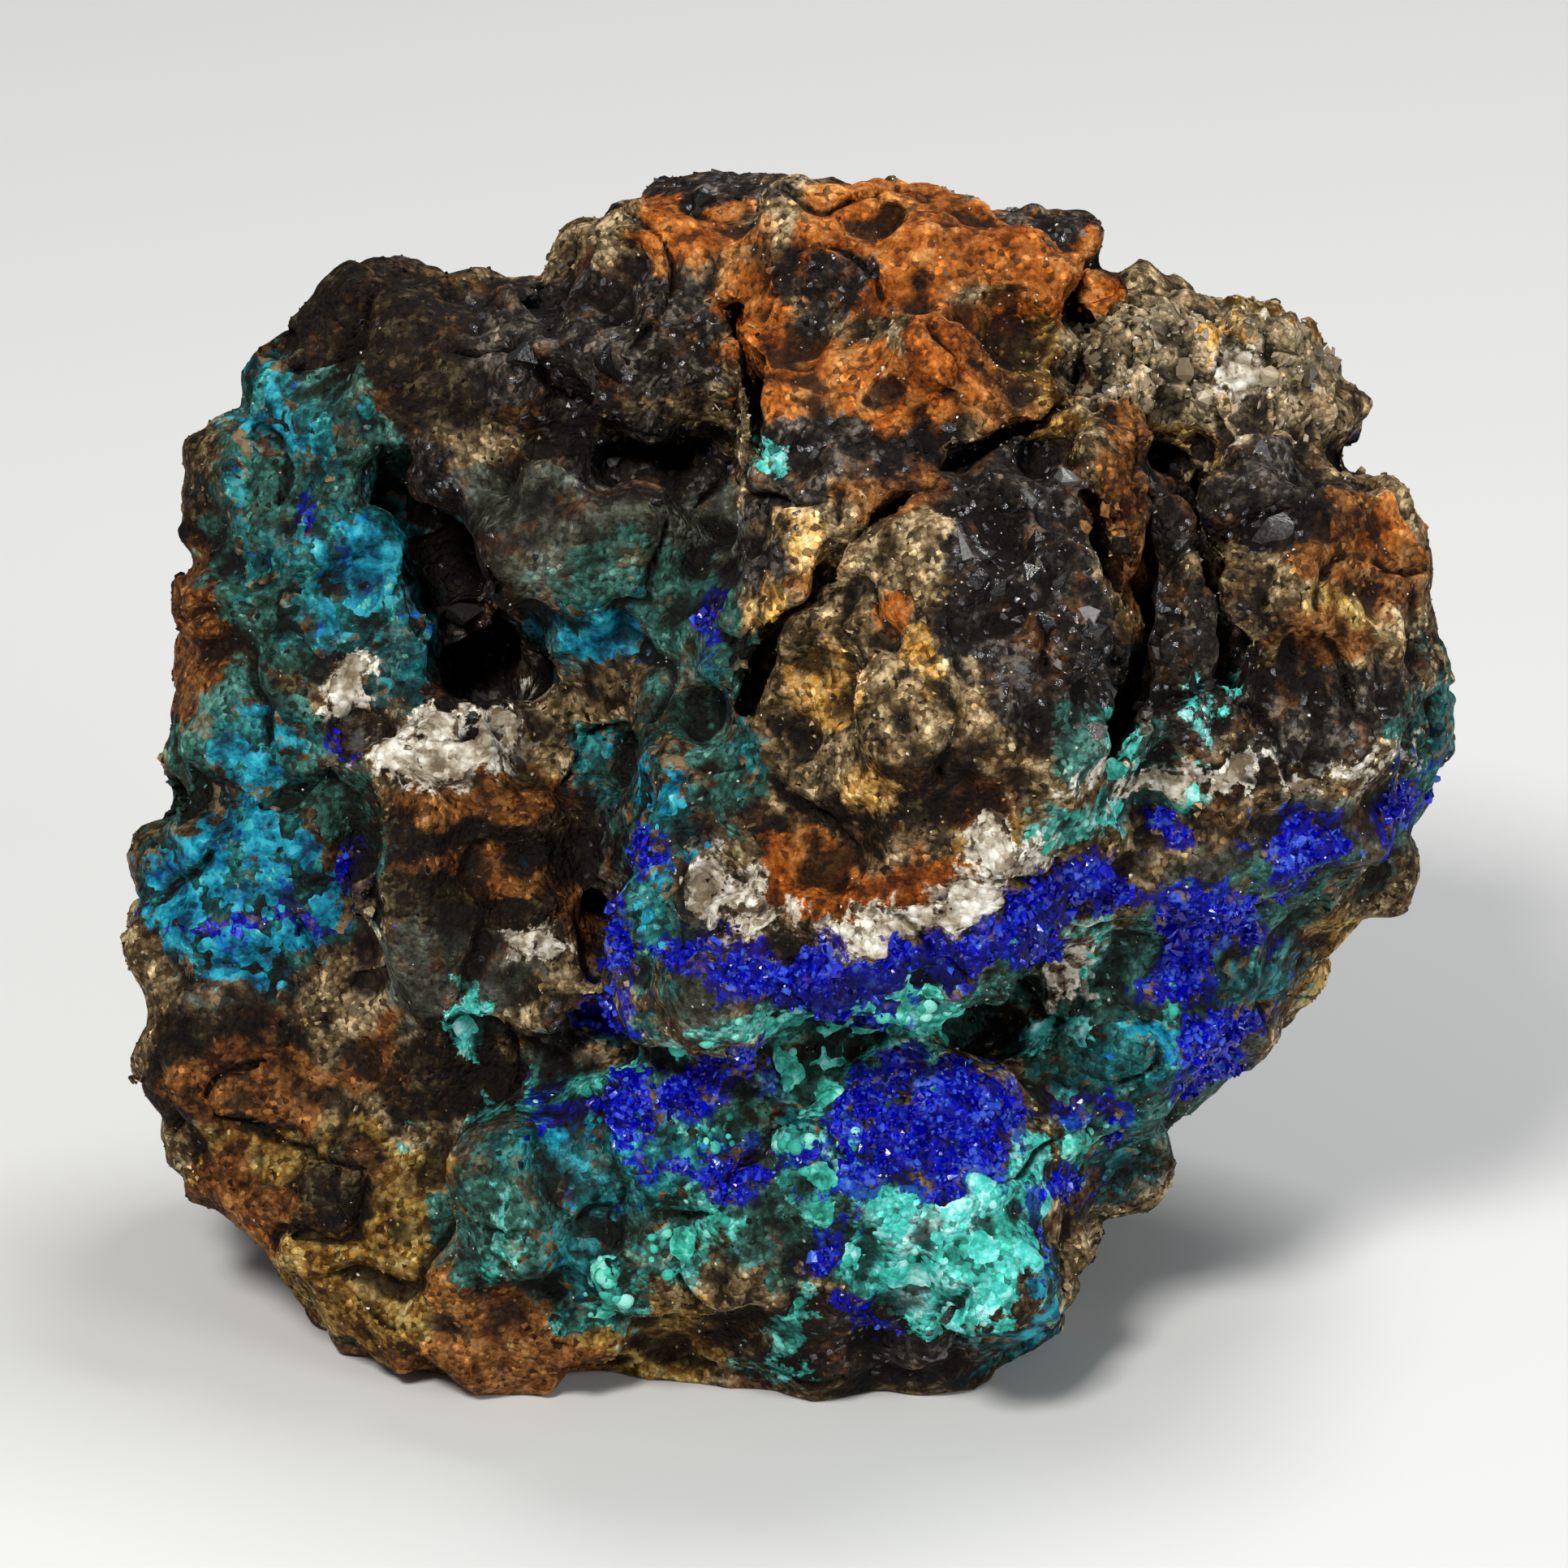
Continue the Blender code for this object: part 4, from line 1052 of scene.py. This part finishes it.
def chrysocolla_material():
    """Dull turquoise that turns a clear sky blue where the sky patches are."""
    g = Crust("chrysocolla", 0.42, 0.70)
    color = g.mix(g.patch("sky", g.ragged, 1.0, 0.35), g.tones(DULL_TURQUOISE), g.tones(CLEAR_TURQUOISE))
    color = g.spots(color, g.noise(1.1, 5.0, 0.5, 0.62), 0.60, 0.66, BLUE_STAIN)
    color = g.spots(color, g.noise(1.0, 5.0, 0.7, 0.62), 0.67, 0.71, BROWN_STAIN)
    color = g.spots(color, g.noise(0.9, 5.0, 0.9, 0.62), 0.61, 0.67, GREEN_STAIN)
    color = g.earthy_edge(color, "chrysocolla")
    # Painted shade in the creases.
    color = g.painted_crease_shade(color, (0.001, 0.010, 0.012))
    return g.finish_crust(color, g.step(g.tint, 0.80, 0.86, 0.6, 0.3), 0.05, 0.15, 0.25)


def cream_material():
    stains = ((1.0, 0.71, BROWN_STAIN), (0.8, 0.66, GREEN_STAIN))
    return crust_material("cream", 0.4, CREAM, (0.14, 0.10, 0.06), stains, (0.6, 0.45), 0.15)


# The scene

def dress(piece, material, slot, replaces=None):
    piece.data.materials.clear()
    piece.data.materials.append(material)
    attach(piece, "root")
    if replaces:
        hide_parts(replaces)


def make_crusts(fine):
    materials = {
        "azurite": azurite_material, "malachite": malachite_material,
        "chrysocolla": chrysocolla_material, "cream": cream_material,
    }
    for name, minerals, triangles, slot in CRUST_PIECES:
        dress(grow_crust(name, fine, minerals, triangles), materials[name](), slot)


def make_crystals(fine):
    ground = Ground(fine)
    right, up, _ = display_place(ground.points)
    bare = 1 - ground.on(*CRUSTS, low=-0.3, high=0.1)
    rng = np.random.default_rng(5)
    chips = [chip_shape(rng) for _ in range(8)]
    stones = [chip_shape(rng, 8) for _ in range(8)]

    smooth = ground.on("grey", "ochre", "dark", low=-0.5, high=0.5)
    weight = bare * (1 - 0.8 * smooth) * (0.3 + 0.7 * ground.front)
    zones = [zone for zone, _, _ in ZONES]
    strew("rock_grains", ground, weight, stones, rock_material("rock_grains", 0.7), zones)

    weight = ground.on("azurite", high=0.35) * (1 - 0.7 * ground.on("umber_and_shade"))
    material = crystal_material("azurite_crystals", BRIGHT_AZURITE, 0.2)
    strew("azurite_crystals", ground, weight, [blade_shape()], material)

    weight = ground.on("malachite", low=-0.1) * (1 - 0.8 * ground.on("mint"))
    material = crystal_material("malachite_balls", MALACHITE, 0.5, specular=DULL, bumps=0.10)
    strew("malachite_balls", ground, weight, [ball_shape()], material).data.shade_smooth()

    weight = ground.on("quartz", high=0.8)
    material = crystal_material("quartz_crystals", WHITE_QUARTZ, 0.25, clear=0.35)
    strew("quartz_crystals", ground, weight, [quartz_shape(), *chips], material)

    weight = ground.on("dark", low=-0.2, high=0.6) * bare * smooth_step(right, -13.0, -11.0)
    material = crystal_material("dark_crystals", BLACK, 0.28, specular=0.3)
    strew("dark_crystals", ground, weight, chips, material)

    on_dome = inside_patches(right, up, [GLOSSY_DOME]) > 0
    weight = ground.on("dark", low=0.0, high=0.8) * bare * (0.1 + 0.9 * on_dome)
    strew("dark_facets", ground, weight, chips, crystal_material("dark_facets", STEEL_AND_PAINTED_GLINT, 0.10, bumps=0.06))

    clean = 1 - 0.85 * ground.on("azurite", "chrysocolla", "malachite", low=-0.2)
    weight = clean * (0.5 + ground.on("amber", "tan", low=-0.5, high=0.8)) * (0.4 + 0.6 * ground.front)
    weight *= (1 - 0.6 * ground.on("umber_and_shade", "rust", low=-0.5)) * (0.25 + 0.75 * smooth_step(right, -8.0, 0.0))
    weight *= 1 + 1.5 * on_dome
    strew("sparkling_grains", ground, weight, chips, crystal_material("sparkling_grains", GLINTS, 0.12))


def make_pieces(stone):
    fine = fine_stone(stone)
    dress(make_rock(fine), rock_material("rock"), "ore_rock", "ore_specimen")
    make_crusts(fine)
    make_crystals(fine)
    bpy.data.objects.remove(fine, do_unlink=True)


def aim(thing, place, target):
    """Puts a light or a camera in its place, in m, and turns it to its target."""
    bpy.context.scene.collection.objects.link(thing)
    thing.location = place
    thing.rotation_mode = "QUATERNION"
    thing.rotation_quaternion = (Vector(target) - Vector(place)).to_track_quat("-Z", "Y")


def add_light(name, place, width, power, color):
    """A square soft light that shines at the stone."""
    data = bpy.data.lights.new(name, "AREA")
    data.shape = "SQUARE"
    data.size = width
    data.energy = power
    data.color = color
    aim(bpy.data.objects.new(name, data), place, LIGHTS_AIM)


def make_stage():
    bm = bmesh.new()
    bmesh.ops.create_grid(bm, x_segments=1, y_segments=1, size=FLOOR_SIZE)
    mesh = bpy.data.meshes.new("floor")
    bm.to_mesh(mesh)
    bm.free()
    floor = new_piece("floor", mesh)
    floor.data.materials.append(Graph("floor").finish(FLOOR_COLOR, FLOOR_ROUGHNESS))
    floor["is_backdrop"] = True

    world = bpy.data.worlds.new("studio")
    world.use_nodes = True
    background = world.node_tree.nodes["Background"]
    background.inputs["Color"].default_value = STUDIO_COLOR
    background.inputs["Strength"].default_value = STUDIO_STRENGTH
    bpy.context.scene.world = world
    for light in LIGHTS:
        add_light(*light)
    bpy.context.scene.view_settings.view_transform = "Standard"


def make_camera():
    data = bpy.data.cameras.new("camera")
    data.lens = CAMERA_LENS
    data.sensor_width = CAMERA_SENSOR
    data.clip_start = 0.01
    camera = bpy.data.objects.new("camera", data)
    tilt = math.radians(LEAN)
    back = Vector((0.0, -math.cos(tilt), math.sin(tilt)))
    middle = Vector(DISPLAY_CENTRE) * MM
    aim(camera, middle + back * CAMERA_DISTANCE * MM, middle)
    bpy.context.scene.camera = camera


def write_sizes(cad_box):
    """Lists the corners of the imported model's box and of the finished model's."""
    sizes = [[[float(c) for c in corner] for corner in box] for box in (cad_box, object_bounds())]


clear_start()
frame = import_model()
cad_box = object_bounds()
make_pieces(frame["nodes"]["ore_specimen"])
make_stage()
make_camera()
write_sizes(cad_box)
